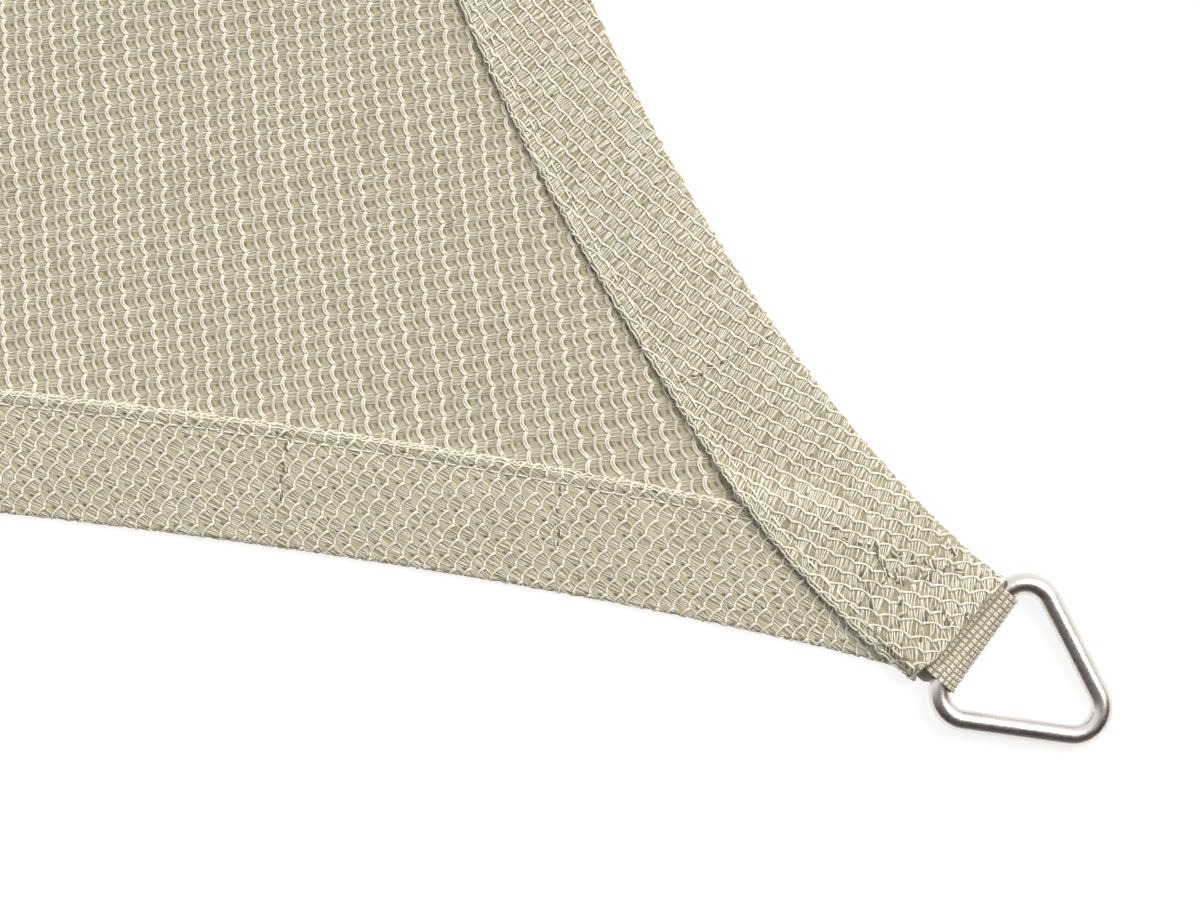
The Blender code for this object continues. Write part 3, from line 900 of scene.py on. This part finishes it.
def steelMaterial():
    made, node = newMaterial("polished_ring_steel")
    wear, patch = noise(node, 900.0, 4.0, Roughness=0.7), noise(node, 130.0, 2.0)
    ends = {"From Min": 0.3, "From Max": 0.7, "To Min": 0.19, "To Max": 0.33}
    rough = node("MapRange", {"Value": wear, **ends}).outputs["Result"]
    return dress(made, node, mix(node, patch, *colours["steel"]), (wear, 0.05, 0.0001), Roughness=rough,
                 Metallic=1.0)


def knitMaterial(name, reverse):
    # the knit as drawn by its own counts: wale across, course along, both kept in the mesh
    made, node = newMaterial(name)

    def calc(*values, **settings):
        return maths(node, *values, **settings)

    def band(value, low, high):
        return node("MapRange", {"Value": value, "From Min": low, "From Max": high},
                    interpolation_type="SMOOTHSTEP").outputs["Result"]

    def inverse(value):
        return calc("SUBTRACT", 1.0, value)

    def close(value, middle, near, far):
        # 1 near the middle, falling to 0
        return inverse(band(calc("ABSOLUTE", calc("SUBTRACT", value, middle)), near, far))

    counts = node("SeparateXYZ", {0: node("Attribute", attribute_name="knit").outputs["Vector"]}).outputs
    real = attribute(node, "real")
    wobble = calc("MULTIPLY_ADD", noise(node, 700.0, 1.0), 0.16, -0.08)
    wale, course = calc("ADD", counts[0], wobble), calc("ADD", counts[1], wobble)
    if reverse:
        # the threads run square to the wales
        course = calc("MULTIPLY_ADD", calc("FRACT", wale), -0.5, course)
    phase = calc("FRACT", course)
    rise = calc("MINIMUM", calc("DIVIDE", phase, 0.39), calc("DIVIDE", inverse(phase), 0.61))
    swing = calc("SINE", calc("MULTIPLY", rise, math.pi / 2))
    reach = 0.10 if reverse else 0.15
    centred = calc("MULTIPLY_ADD", swing, 2 * reach, calc("SUBTRACT", wale, reach))
    shifted = calc("ADD", centred, 0.5)
    aside = calc("SUBTRACT", calc("FRACT", shifted), 0.5)
    pair = calc("ABSOLUTE", calc("MODULO", calc("FLOOR", shifted), 2.0))
    threads = calc("MULTIPLY_ADD", calc("COSINE", calc("MULTIPLY", course, 2 * math.pi * 8)), 0.5, 0.5)
    if reverse:
        chain = close(aside, 0.0, 0.07, 0.15)
        fan = close(phase, 0.28, 0.30, 0.36)
        slot = close(phase, 0.64, 0.03, 0.08)
        side = band(aside, 0.1, 0.2)
        shade = calc("MULTIPLY", fan, 0.35)
    else:
        chain = close(aside, 0.0, 0.13, 0.22)
        slot = close(phase, 0.53, 0.06, 0.14)
        fan = inverse(slot)
        side = calc("MULTIPLY", band(aside, 0.1, 0.16), inverse(band(aside, 0.34, 0.46)))
        shadeNotch = calc("MULTIPLY", close(phase, 0.53, 0.08, 0.22), close(aside, 0.0, 0.16, 0.50))
        shade = calc("MULTIPLY", shadeNotch, 0.95)
    cover = calc("MULTIPLY", threads, fan)
    # painted shade in the knit's slots: there the tape goes to the dark gap colour
    holeShade = calc("MULTIPLY", calc("MULTIPLY", slot, side), 0.8)
    patch, grain = noise(node, 45.0, 3.0), noise(node, 3500.0, 2.0)
    light = calc("MULTIPLY_ADD", patch, 0.35, 0.72)
    light = calc("MULTIPLY_ADD", grain, 0.16, light)
    light = calc("MULTIPLY_ADD", pair, -0.12, light, clamp=True)
    # painted shade: the tape is darker between the drawn threads
    tape = mix(node, cover, *colours["drawnReverse" if reverse else "drawnFace"])
    tape = mix(node, holeShade, tape, colours["gap"])
    drawn = mix(node, chain, tape, mix(node, light, colours["threadDark"], colours["threadBright"]))
    # under the real yarns the sheet shows painted shade: the darker ground, going darker still towards the
    # gap colour in the notches and fans
    under = mix(node, shade, colours["reverseGround" if reverse else "ground"], colours["gap"])
    height = calc("ADD", calc("MULTIPLY", chain, 0.7), calc("MULTIPLY", cover, 0.35))
    height = calc("MULTIPLY_ADD", grain, 0.08, calc("MULTIPLY", height, inverse(real)))
    return dress(made, node, mix(node, real, drawn, under), (height, 0.8, 0.0005), Roughness=0.8,
                 Specular_IOR_Level=0.10)


sailCloth.data.materials.append(knitMaterial("knit_face_cream", False))
sailCloth.data.materials.append(knitMaterial("knit_reverse_cream", True))
webbingThread = threadMaterial("cream_webbing_thread", "webbingDark", "webbingBright", 0.55)
ringSteel = steelMaterial()
for corner in corners:
    straps[corner].data.materials.append(webbingThread)
    rings[corner].data.materials.append(ringSteel)


# the yarns themselves, where the cloth is seen from close by
sunk = 0.00022     # how far the yarns dip into the cloth at the rim of their area
bodyYarn = {
    "swing": (0.00046, 0.00036), "turnAt": 0.42,     # bright and plain wales, in turn
    "strandGap": 0.00050, "strandWidth": (0.00072, 0.00125), "strandHeight": 0.00030,
    "lift": (0.00030, 0.00020), "liftWave": 0.00009, "tone": (0.92, 0.55), "toneSpread": 0.05,
    "ribs": 5, "ribsFrom": (0.75, 0.63), "ribsTo": (1.30, 1.42), "jitter": 0.015,
    "ribWidth": 0.00056, "ribHeight": 0.00040, "ribLift": 0.00014, "ribLiftSpread": 0.00003,
    # the rib tone wave is painted light and shade over the ribs' pillows
    "ribTone": 0.50, "ribToneSpread": 0.12, "ribShadeWave": 0.13,
    "ribFollow": 0.35,          # how far the ribs' ends follow the next wale
    "paintedBendShade": (0.50, 0.42),     # painted shade: darker in the wales' bends, right and left
    "ledgeLength": (0.24, 0.58), "ledgeWidth": 0.00038, "ledgeHeight": 0.00032,
    "ledgeLift": 0.00026, "ledgeTone": 0.60, "ledgeToneSpread": 0.08,
    "unevenness": 0.040,
}
hemYarn = {
    "swing": {"long": 0.00036, "short": 0.00020}, "tipSwing": 0.00026, "tipRun": 0.035, "unevenness": 0.050,
    "width": {"long": 0.00078, "short": 0.00072}, "height": 0.00032, "lift": 0.00036, "liftWave": 0.00008,
    # for each hem: the long hem's tones are set lower and the short hem's higher, painted shade on the long
    # hem and painted light on the short
    "tone": {"long": 0.84, "short": 0.92}, "toneSpread": 0.07, "knot": 0.45,
    # threads from wale to wale: lift, width, height, spread of the tone, share that is missing
    "thread": {"long": (0.00024, 0.00037, 0.00028, 0.13, 0.06),
               "short": (0.00024, 0.00043, 0.00028, 0.13, 0.06)},
    "fold": (0.00010, 0.00052, 0.00028, 0.08, 0.03),
    # the notch tubes are dark, as painted shade in the gaps beside the knots
    "shadeNotch": {"long": (0.00042, 0.00050, 0.00016, 0.10, 0.25),
              "short": (0.00042, 0.00050, 0.00016, 0.10, 0.22)},
    "threads": 7, "threadStart": (-0.05, 0.58), "threadTurn": 0.5, "threadJitter": (0.036, 0.075),
    "threadTone": {"long": 0.80, "short": 1.12},
    # the fold strips are toned darker one after another, painted shade across each window
    "folds": (0.67, 0.77, 0.87), "foldShadeTone": {"long": (0.54, 0.46, 0.34), "short": (0.98, 0.92, 0.76)},
    "notchStart": 0.62, "notchTone": {"long": 0.14, "short": 0.22},
    "reach": 0.275, "longStart": 0.030,     # of the rim's threads and the loops
    "edgeThread": 0.00034, "edgeHeight": 0.00030, "edgeWave": 0.00022, "edgeStep": 0.0021,
    "edgeTones": ((0.0007, 0.95), (0.0001, 0.86)),     # place across the rim, tone
    "stitchIn": 0.0024, "stitchStep": 0.0031, "stitchLength": 0.0023, "stitchWidth": 0.00042,
    "stitchTone": 0.93,
    "loopStep": 0.0019, "loopReach": 0.00045, "loopWidth": 0.00034, "loopTone": 0.88,
}


def unevenness(wales, courses, spread):
    # a random number at every stitch, read smoothly along the wales
    values = rng.normal(0, spread, (wales[1] - wales[0] + 4, courses[1] - courses[0] + 6))

    def at(wale, course):
        i = np.clip(wale.astype(int) - wales[0], 0, values.shape[0] - 1)
        low = np.clip(np.floor(course).astype(int) - courses[0] + 1, 0, values.shape[1] - 2)
        share = smooth(course % 1)
        return values[i, low] * (1 - share) + values[i, low + 1] * share

    return at


def cellsWhere(wales, courses, used):
    # every stitch in the span of the used places of a grid, and both spans
    spans = [(int(np.floor(values[used].min())) - 1, int(np.ceil(values[used].max())) + 2)
             for values in (wales, courses)]
    return *np.meshgrid(*(np.arange(*span) for span in spans), indexing="ij"), *spans


def toneOf(count, middle, spread):
    return middle + rng.normal(0, spread, count)


def between(first, last, steps):
    return first[:, None] * (1 - steps) + last[:, None] * steps


def bodySurface(wale, course, lift):
    points = knitToBody(wale, course)
    share = yarnShare(points)
    height = baseHeight(points) + lift * share - sunk * (1 - share)
    return raised(points, height), raised(0 * points, 1 + 0 * height)


def bodySwing(wale, course, uneven):
    phase, turn = course % 1, bodyYarn["turnAt"]
    rise = np.minimum(phase / turn, (1 - phase) / (1 - turn))
    reach = np.where(wale.astype(int) % 2 == 0, *bodyYarn["swing"]) / knit["bodyPitch"]
    reach = reach * (1 + 3 * uneven(wale, np.floor(course / 5)))
    return reach * (1 - 2 * np.sin(math.pi / 2 * rise)) + uneven(wale, course)


def bodyCells():
    middle = cut + np.array(knit["yarnMiddle"])
    reach = np.array(knit["yarnReach"]) + knit["yarnFade"]
    xs = np.linspace(middle[0] - reach[0], cut[0], 120)
    ys = np.linspace(middle[1] - reach[1], middle[1] + reach[1], 120)
    grid = np.stack(np.meshgrid(xs, ys), -1)
    wale, course, *spans = cellsWhere(*bodyToKnit(grid), fromEdges(grid) > sail["hemWidth"] - 0.002)
    centre = knitToBody(wale + 0.3, course + 0.5)
    used = (fromEdges(centre) > sail["hemWidth"] - 0.0012) & (yarnShare(centre) > knit["leastShare"])
    return wale[used], course[used], spans


def makeBodyYarns():
    wale, course, spans = bodyCells()
    uneven = unevenness(*spans, bodyYarn["unevenness"])
    print("body stitches:", len(wale))
    even = wale % 2 == 0
    gap = bodyYarn["strandGap"] / 2
    phases = np.array((-0.15, 0.0, 0.12, 0.26, 0.4, 0.55, 0.7, 0.85, 1.0, 1.12))
    parts = []
    for kind, picked, asides in ((0, even, (-gap, gap)), (1, ~even, (0.0,))):
        t = course[picked][:, None] + phases
        k = np.broadcast_to(wale[picked][:, None], t.shape)
        swing = bodySwing(k, t, uneven)
        for aside in asides:
            turns = t + (0.5 if aside > 0 else 0.0)
            lift = bodyYarn["lift"][kind] + bodyYarn["liftWave"] * np.cos(2 * math.pi * turns)
            points, ups = bodySurface(k + swing + aside / knit["bodyPitch"], t, lift)
            width = bodyYarn["strandWidth"][kind] / 2 * (0.5 + 0.5 * yarnShare(points)[:, 1:-1])
            parts.append(tubes(points, ups, width, bodyYarn["strandHeight"] / 2,
                               toneOf(len(t), bodyYarn["tone"][kind], bodyYarn["toneSpread"]), trim=1))
    wales = makeYarns("body_wales", parts)

    parts = []
    steps = np.array((0.06, 0.34, 0.68, 0.97))
    right = bodyYarn["paintedBendShade"][0] * np.where(even, 1.15, 0.75)[:, None]
    for ends in np.linspace(bodyYarn["ribsFrom"], bodyYarn["ribsTo"], bodyYarn["ribs"]):
        first, last = (course + end + rng.normal(0, bodyYarn["jitter"], len(course)) for end in ends)
        t = between(first, last, steps)
        start, end = bodySwing(wale, first, uneven), bodySwing(wale + 1, last, uneven) * bodyYarn["ribFollow"]
        aside = wale[:, None] + steps + between(start, end, steps)
        wave = np.cos(2 * math.pi * (t - 0.12))
        lift = bodyYarn["ribLift"] * np.array((0.3, 1.15, 1.1, 0.1)) * (1 + 0.6 * wave)
        lift = lift + rng.normal(0, bodyYarn["ribLiftSpread"], (len(course), 1))
        points, ups = bodySurface(aside, t + 0.02 * np.sin(math.pi * steps), lift)
        # painted shade: the ribs' ends are toned darker in the bends beside this wale and the next
        shadeNearWale = np.array((1.0, 0.62, 0.0, 0.0)) * right * np.exp(-((t % 1 - 0.56) / 0.15) ** 2)
        shadeNearNext = np.array((0.0, 0.0, 0.4, 1.0)) * np.exp(-(((t + 0.4) % 1 - 0.52) / 0.16) ** 2)
        tone = bodyYarn["ribTone"] + rng.normal(0, bodyYarn["ribToneSpread"], (len(course), 1))
        # painted light and shade over each pillow: the tone follows the same wave as the lift
        tone = tone + bodyYarn["ribShadeWave"] * wave
        parts.append(tubes(points, ups, bodyYarn["ribWidth"] / 2, bodyYarn["ribHeight"] / 2,
                           tone - shadeNearWale - shadeNearNext * bodyYarn["paintedBendShade"][1], 3))
    ribs = makeYarns("body_ribs", parts)

    length = rng.uniform(*bodyYarn["ledgeLength"], len(course))
    steps = np.array((0.0, 0.35, 0.7, 1.0))
    first = course + 0.99 + rng.normal(0, bodyYarn["jitter"], len(course))
    start = bodySwing(wale, first, uneven)
    aside = wale[:, None] + start[:, None] + length[:, None] * steps + 0.04
    t = first[:, None] + 0.03 * steps + 0.05 * steps ** 2
    points, ups = bodySurface(aside, t, bodyYarn["ledgeLift"] * np.array((1.1, 1.0, 0.75, 0.15)))
    width = bodyYarn["ledgeWidth"] / 2 * np.array((1.2, 1.0, 0.8, 0.5))
    tone = toneOf(len(course), bodyYarn["ledgeTone"], bodyYarn["ledgeToneSpread"])
    ledges = makeYarns("body_ledges", [tubes(points, ups, width, bodyYarn["ledgeHeight"] / 2, tone)])
    return [wales, ribs, ledges]


def onHem(edge, run, inset, lift):
    inset = np.clip(inset, -0.0011, hemWidthAt(edge, run) + 0.0009)
    run = np.clip(run, 0.00025 if edge["kind"] == "short" else 0.0010, None)
    small = 0.0004
    points = hemSurface(edge, run, inset)
    ahead = hemSurface(edge, run + small, inset) - points
    inner = hemSurface(edge, run, inset + small) - points
    ups = unit(np.cross(ahead, inner)) * (-1 if edge["kind"] == "long" else 1)
    share = yarnShare(points)
    rise = lift * share - sunk * (1 - share)
    return points + ups * rise[..., None], ups


def hemSwing(edge, wale, course, uneven):
    reach = hemYarn["swing"][edge["kind"]]
    if edge["kind"] == "short":
        run, _ = knitToHem(edge, wale.astype(float), course)
        reach = reach + hemYarn["tipSwing"] * np.exp(-np.maximum(run, 0) / hemYarn["tipRun"])
    return reach / knit["hemPitch"] * (1 - 2 * np.sin(math.pi * (course % 1)) ** 0.8) + uneven(wale, course)


def pastShortRim(places):
    # how far places lie beyond the inner rim of the short hem, which lies on top
    runs = np.linspace(0.0, 0.30, 240)
    rim = placeAt(shownShort, runs, hemWidthAt(shownShort, runs))
    apart = places[..., None, :2] - rim
    nearest = np.argmin(np.linalg.norm(apart, axis=-1), -1)
    apart = np.take_along_axis(apart, nearest[..., None, None], -2)[..., 0, :]
    return np.sum(apart * acrossHem(shownShort, runs)[nearest], -1)


def hemCells(edge):
    run, inset = np.meshgrid(np.linspace(0.0, 0.30, 160),
                             np.linspace(-0.0008, sail["hemWidth"] + sail["tipHemExtra"], 40))
    inset = np.minimum(inset, hemWidthAt(edge, run))
    seen = yarnShare(hemSurface(edge, run, inset)) > knit["searchShare"]
    wale, course, *spans = cellsWhere(*hemToKnit(edge, run, inset), seen)
    run, inset = knitToHem(edge, wale + 0.3, course + 0.5)
    places = hemSurface(edge, np.maximum(run, 0.0), inset)
    used = (inset > -0.0016) & (inset < hemWidthAt(edge, run) + 0.0014) & (run > -0.0012)
    used &= yarnShare(places) > knit["leastShare"]
    if edge["kind"] == "long":
        used &= (pastShortRim(places) > -0.003) & (run > 0.001)
    return wale[used], course[used], spans


def makeHemYarns(kind):
    edge, name = shown[kind], kind + "_hem"
    yarn = {key: value[kind] if isinstance(value, dict) else value for key, value in hemYarn.items()}
    wale, course, spans = hemCells(edge)
    uneven = unevenness(*spans, yarn["unevenness"])
    print(name, "stitches:", len(wale))
    t = course[:, None] + np.array((-0.12, 0.0, 0.1, 0.22, 0.38, 0.54, 0.7, 0.86, 1.0, 1.1))
    k = np.broadcast_to(wale[:, None], t.shape)
    wave = np.cos(2 * math.pi * t)
    points, ups = onHem(edge, *knitToHem(edge, k + hemSwing(edge, k, t, uneven), t),
                        yarn["lift"] + yarn["liftWave"] * wave)
    width = yarn["width"] / 2 * (1 + yarn["knot"] * wave[:, 1:-1] ** 3)
    wales = makeYarns(name + "_wales", [tubes(points, ups, width, yarn["height"] / 2,
                                              toneOf(len(wale), yarn["tone"], yarn["toneSpread"]), trim=1)])

    def crossing(which, first, tone, steps=(0.03, 0.34, 0.68, 0.99), shape=1.0):
        lift, width, height, spread, missing = yarn[which]
        kept = rng.random(len(wale)) > missing
        k, steps = wale[kept], np.array(steps)
        start = course[kept] + first + rng.normal(0, yarn["threadJitter"][0], len(k))
        end = start + yarn["threadTurn"] + rng.normal(0, yarn["threadJitter"][1], len(k))
        swings = between(hemSwing(edge, k, start, uneven), hemSwing(edge, k + 1, end, uneven), steps)
        lift = lift * np.array((1.0, 1.2, 1.0, 0.6)) + rng.normal(0, 0.00004, (len(k), 1))
        run, inset = knitToHem(edge, k[:, None] + steps + swings, between(start, end, steps))
        points, ups = onHem(edge, run, inset, lift)
        return tubes(points, ups, width / 2 * shape, height / 2, toneOf(len(k), tone, spread), 3)

    parts = [crossing("thread", first, yarn["threadTone"])
             for first in np.linspace(*yarn["threadStart"], yarn["threads"])]
    parts += [crossing("fold", first, tone) for first, tone in zip(yarn["folds"], yarn["foldShadeTone"])]
    threads = makeYarns(name + "_threads", parts)
    # painted shade: dark tubes in the gap that the threads leave beside each knot
    dark = crossing("shadeNotch", yarn["notchStart"], yarn["notchTone"], (0.58, 0.68, 0.82, 0.93),
                    np.array((0.3, 1.0, 1.0, 0.4)))
    return [wales, threads, makeYarns(name + "_notches", [dark])]


def makeEdging(kind):
    # the threads along the rim, the stitches inside it and the loops of the outer fold
    edge, reach, parts = shown[kind], hemYarn["reach"], []

    def add(run, inset, lift, width, height, tone, spread, out=None):
        points, ups = onHem(edge, run, inset, lift)
        if out is not None:
            points[..., :2] -= acrossHem(edge, run) * out[..., None]
        parts.append(tubes(points, ups, width / 2, height / 2, toneOf(len(run), tone, spread)))

    start = hemYarn["longStart"] if kind == "long" else 0.0
    run = np.arange(start, reach, 0.00055)[None]
    turns = 2 * math.pi * run / hemYarn["edgeStep"]
    waves = sum(rng.uniform(0.5, 1.0) * np.sin(turns / k + rng.uniform(0, 6)) for k in (0.77, 1.0, 1.36))
    for aside, tone in hemYarn["edgeTones"]:
        inset = hemWidthAt(edge, run) + aside - 0.0004 + hemYarn["edgeWave"] * waves * (0.5 + aside * 900)
        add(run, inset, hemYarn["edgeHeight"], hemYarn["edgeThread"] * 1.5, hemYarn["edgeThread"], tone, 0.06)

    middles = np.arange(start + 0.002, reach - 0.005, hemYarn["stitchStep"])[:, None]
    steps = np.array((-0.5, -0.3, 0.0, 0.3, 0.5))
    run = middles + rng.normal(0, 0.0002, middles.shape) + steps * hemYarn["stitchLength"]
    inset = hemWidthAt(edge, run) - hemYarn["stitchIn"] + rng.normal(0, 0.00015, middles.shape)
    lift = 0.00052 + 0.00012 * np.array((-0.6, 0.5, 1.0, 0.5, -0.6))
    add(run, inset, lift, hemYarn["stitchWidth"] * 1.3, hemYarn["edgeHeight"], hemYarn["stitchTone"], 0.08)

    middles = np.arange(0.003, reach, hemYarn["loopStep"])[:, None]
    middles = middles + rng.normal(0, 0.0004, middles.shape)
    size = rng.uniform(0.35, 1.25, middles.shape)
    angle = np.linspace(0.1, math.pi - 0.1, 6)
    run = np.maximum(middles - np.cos(angle) * 0.00075 * (0.6 + 0.5 * size), 0.0004)
    inset = 0 * run + rng.uniform(-0.0002, 0.0008, middles.shape)
    add(run, inset, 0.0001, hemYarn["loopWidth"] * 1.4, hemYarn["edgeHeight"], hemYarn["loopTone"], 0.10,
        np.sin(angle) * size * hemYarn["loopReach"] - 0.0003)
    return makeYarns(kind + "_hem_edging", parts)


# where the knit is drawn apart: rows of short dark openings between bright threads, from point to point; each
# opening is a dark tube, painted shade of the hole
openings = {
    # ends of the rows, from the cut
    "long": (((-0.1506, 0.0572), (-0.1530, 0.0387)), ((-0.0890, 0.0408), (-0.0913, 0.0242))),
    "short": (((-0.0601, 0.0598), (-0.0384, 0.0694)), ((-0.0291, 0.0235), (0.0005, 0.0122)),
              ((-0.0136, 0.0146), (-0.0146, 0.0000))),
    "step": 0.0020, "length": 0.0016, "width": 0.00052, "height": 0.00024, "lift": 0.00046,
    "tone": {"long": -0.08, "short": -0.04}, "lean": {"long": 0.28, "short": 0.5},
    "beside": 0.00042, "besideWidth": 0.00038, "besideHeight": 0.00028, "besideTone": 0.90,
    "loose": 30, "looseMiddle": (-0.0120, 0.0090), "looseSpread": (0.0085, 0.0075),
    "guess": {"long": 0.10, "short": 0.02},     # runs from which the places are searched
}


def makeOpenings():
    dark, bright = [], []

    def slot(kind, run, inset, way, size):
        # all are arrays with one value for each slot; way is the angle from the edge
        length = openings["length"] * size[:, None] * np.array((-0.5, -0.25, 0.1, 0.5))
        lift = openings["lift"] * np.array((0.55, 1.0, 1.0, 0.5))
        run, inset, c, s = (values[:, None] for values in (run, inset, np.cos(way), np.sin(way)))
        points, ups = onHem(shown[kind], run + c * length, inset + s * length, lift)
        wide = rng.uniform(0.8, 1.5, run.shape) * openings["width"] / 2 * 1.3
        # painted shade: a dark tube stands for each opening
        dark.append(tubes(points, ups, np.array((0.3, 1.0, 0.85, 0.25)) * wide, openings["height"] / 2,
                          toneOf(len(run), openings["tone"][kind], 0.08)))
        aside = openings["beside"] * np.sign(rng.normal(0, 1, len(run)))[:, None]
        run, inset = run + 1.1 * c * length + s * aside, inset + 1.1 * s * length - c * aside
        points, ups = onHem(shown[kind], run, inset, lift + 0.0001)
        bright.append(tubes(points, ups, openings["besideWidth"] / 2, openings["besideHeight"] / 2,
                            toneOf(len(run), openings["besideTone"], 0.08)))

    def asRun(kind, offsets):
        guess = np.full(len(offsets), openings["guess"][kind])
        return solved(placeAt, shown[kind], cut + np.asarray(offsets), guess, np.full(len(offsets), 0.012))

    for kind in ("long", "short"):
        for ends in openings[kind]:
            first, last = np.stack(asRun(kind, ends), -1)
            length = np.linalg.norm(last - first)
            count = int(length / openings["step"])
            share = (np.arange(count) + 0.5 + rng.normal(0, 0.10, count)) / count
            places = first + (last - first) * share[:, None] + rng.normal(0, 0.0003, (count, 2))
            way = math.atan2(*(last - first)[::-1]) + rng.normal(0, openings["lean"][kind], count)
            slot(kind, *places.T, way, rng.uniform(0.5, 1.1, count))
    places = rng.normal(0, 1, (openings["loose"], 2)) * openings["looseSpread"] + openings["looseMiddle"]
    run, inset = asRun("short", places)
    used = (run > 0.001) & (inset > 0.0015) & (inset < hemWidthAt(shownShort, run) - 0.002)
    run, inset = run[used], inset[used]
    way = rng.normal(2.1, 0.35, len(run))
    slot("short", run, inset, way, rng.uniform(0.6, 1.6, len(run)))
    return [makeYarns("openings", dark), makeYarns("openings_threads", bright)]


yarnPieces = makeBodyYarns() + makeHemYarns("long") + makeHemYarns("short")
yarnPieces += [makeEdging("long"), makeEdging("short")] + makeOpenings()
knitThread = threadMaterial("cream_knit_thread", "threadDark", "threadBright", 0.5)
# the tape's dark end is the gap colour: painted shade that the ribs' hollows, the openings and the notches
# reach
tapeThread = threadMaterial("knit_tape", "gap", "threadBright", 0.5)
darker = ("_ribs", "_openings", "_notches")
for piece in yarnPieces:
    piece.data.materials.append(tapeThread if piece.name.endswith(darker) else knitThread)
    piece.data.calc_loop_triangles()
print("yarns made:", {piece.name: len(piece.data.loop_triangles) for piece in yarnPieces})


# floor, light and camera
studio = {
    "floorHalf": 150.0, "floorHeight": -0.0002, "floorColour": (0.30, 0.30, 0.30, 1.0), "floorGlow": 0.80,
    "keyPower": 2.2, "keyColour": (1.0, 0.985, 0.955), "keyAngle": math.radians(40),
    "keyAzimuth": math.radians(35), "keyHeight": math.radians(52),
    "skyAzimuth": math.radians(98), "behind": (0.92, 0.92, 0.92),
    "sky": ((0.0, 0.20), (0.14, 0.06), (0.32, 0.10), (0.46, 0.30), (0.64, 1.0), (1.0, 1.0)),
    "skyWarmth": (1.0, 0.86, 0.76),     # of its dark half
    "lens": 300.0, "viewWidth": 0.27273, "viewMiddle": (-0.07996, 0.04569), "viewTurn": math.radians(-4.0),
    "viewHeight": 0.002,
}


def makeFloor():
    half = studio["floorHalf"]
    farther = np.geomspace(2.0, half, 8)
    lines = np.concatenate((-farther[::-1], np.linspace(-1.5, 1.5, 5), farther))
    grid = np.stack(np.meshgrid(lines, lines), -1).reshape(-1, 2)
    points = raised(grid, np.full(len(grid), studio["floorHeight"]))
    index = np.arange(len(grid)).reshape(len(lines), -1)
    quads = np.stack((index[:-1, :-1], index[:-1, 1:], index[1:, 1:], index[1:, :-1]), -1)
    floor = makeMesh("studio_floor", points, quads, smoothShading=False)
    made, node = newMaterial("pale_floor")
    dress(made, node, studio["floorColour"], None, Roughness=1.0, Specular_IOR_Level=0.0,
          Emission_Color=(1.0, 1.0, 1.0, 1.0), Emission_Strength=studio["floorGlow"])
    floor.data.materials.append(made)


def makeSky():
    # a bright half and a dark half of a plain studio, for the light on the cloth and the steel's reflections
    world = bpy.data.worlds.new("plain_studio")
    bpy.context.scene.world = world
    world.use_nodes = True
    node = nodeMaker(world.node_tree)
    side = (math.cos(studio["skyAzimuth"]), math.sin(studio["skyAzimuth"]), 0.0)
    towards = node("VectorMath", {0: node("TexCoord").outputs["Generated"], 1: side}, operation="DOT_PRODUCT")
    ramp = node("ValToRGB", {0: maths(node, "MULTIPLY_ADD", towards.outputs["Value"], 0.5, 0.5)})
    stops = ramp.color_ramp.elements
    while len(stops) < len(studio["sky"]):
        stops.new(0.5)
    for stop, (position, value) in zip(stops, studio["sky"]):
        stop.position = position
        stop.color = (*(value * (warm + (1 - warm) * value) for warm in studio["skyWarmth"]), 1.0)
    seen = node("LightPath").outputs["Is Camera Ray"]
    setInputs(world.node_tree, world.node_tree.nodes["Background"],
              {0: mix(node, seen, ramp.outputs[0], studio["behind"]), 1: 1.0})


def makeKey():
    sun = bpy.data.lights.new("key_light", "SUN")
    sun.energy, sun.angle, sun.color = studio["keyPower"], studio["keyAngle"], studio["keyColour"]
    level, turn = studio["keyHeight"], studio["keyAzimuth"]
    way = Vector((math.cos(level) * math.cos(turn), math.cos(level) * math.sin(turn), math.sin(level)))
    addObject("key_light", sun).rotation_euler = way.to_track_quat("Z", "Y").to_euler()


def makeCamera():
    view = bpy.data.cameras.new("camera")
    view.lens, view.sensor_width, view.clip_end = studio["lens"], 36.0, 400.0
    camera = addObject("camera", view)
    distance = studio["viewWidth"] / view.sensor_width * view.lens
    camera.location = (*(cut + np.array(studio["viewMiddle"])), studio["viewHeight"] + distance)
    camera.rotation_euler = (0.0, 0.0, studio["viewTurn"])
    bpy.context.scene.camera = camera


makeFloor()
makeSky()
makeKey()
makeCamera()
bpy.context.scene.view_settings.view_transform = "Standard"
print("floor, light and camera made")

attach(sailCloth, "root")
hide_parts("sail_cloth")
for thing in yarnPieces:
    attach(thing, "root")
for corner in corners:
    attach(straps[corner], "root")
    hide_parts("strap_" + corner)
    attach(rings[corner], "root")
    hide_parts("ring_" + corner)
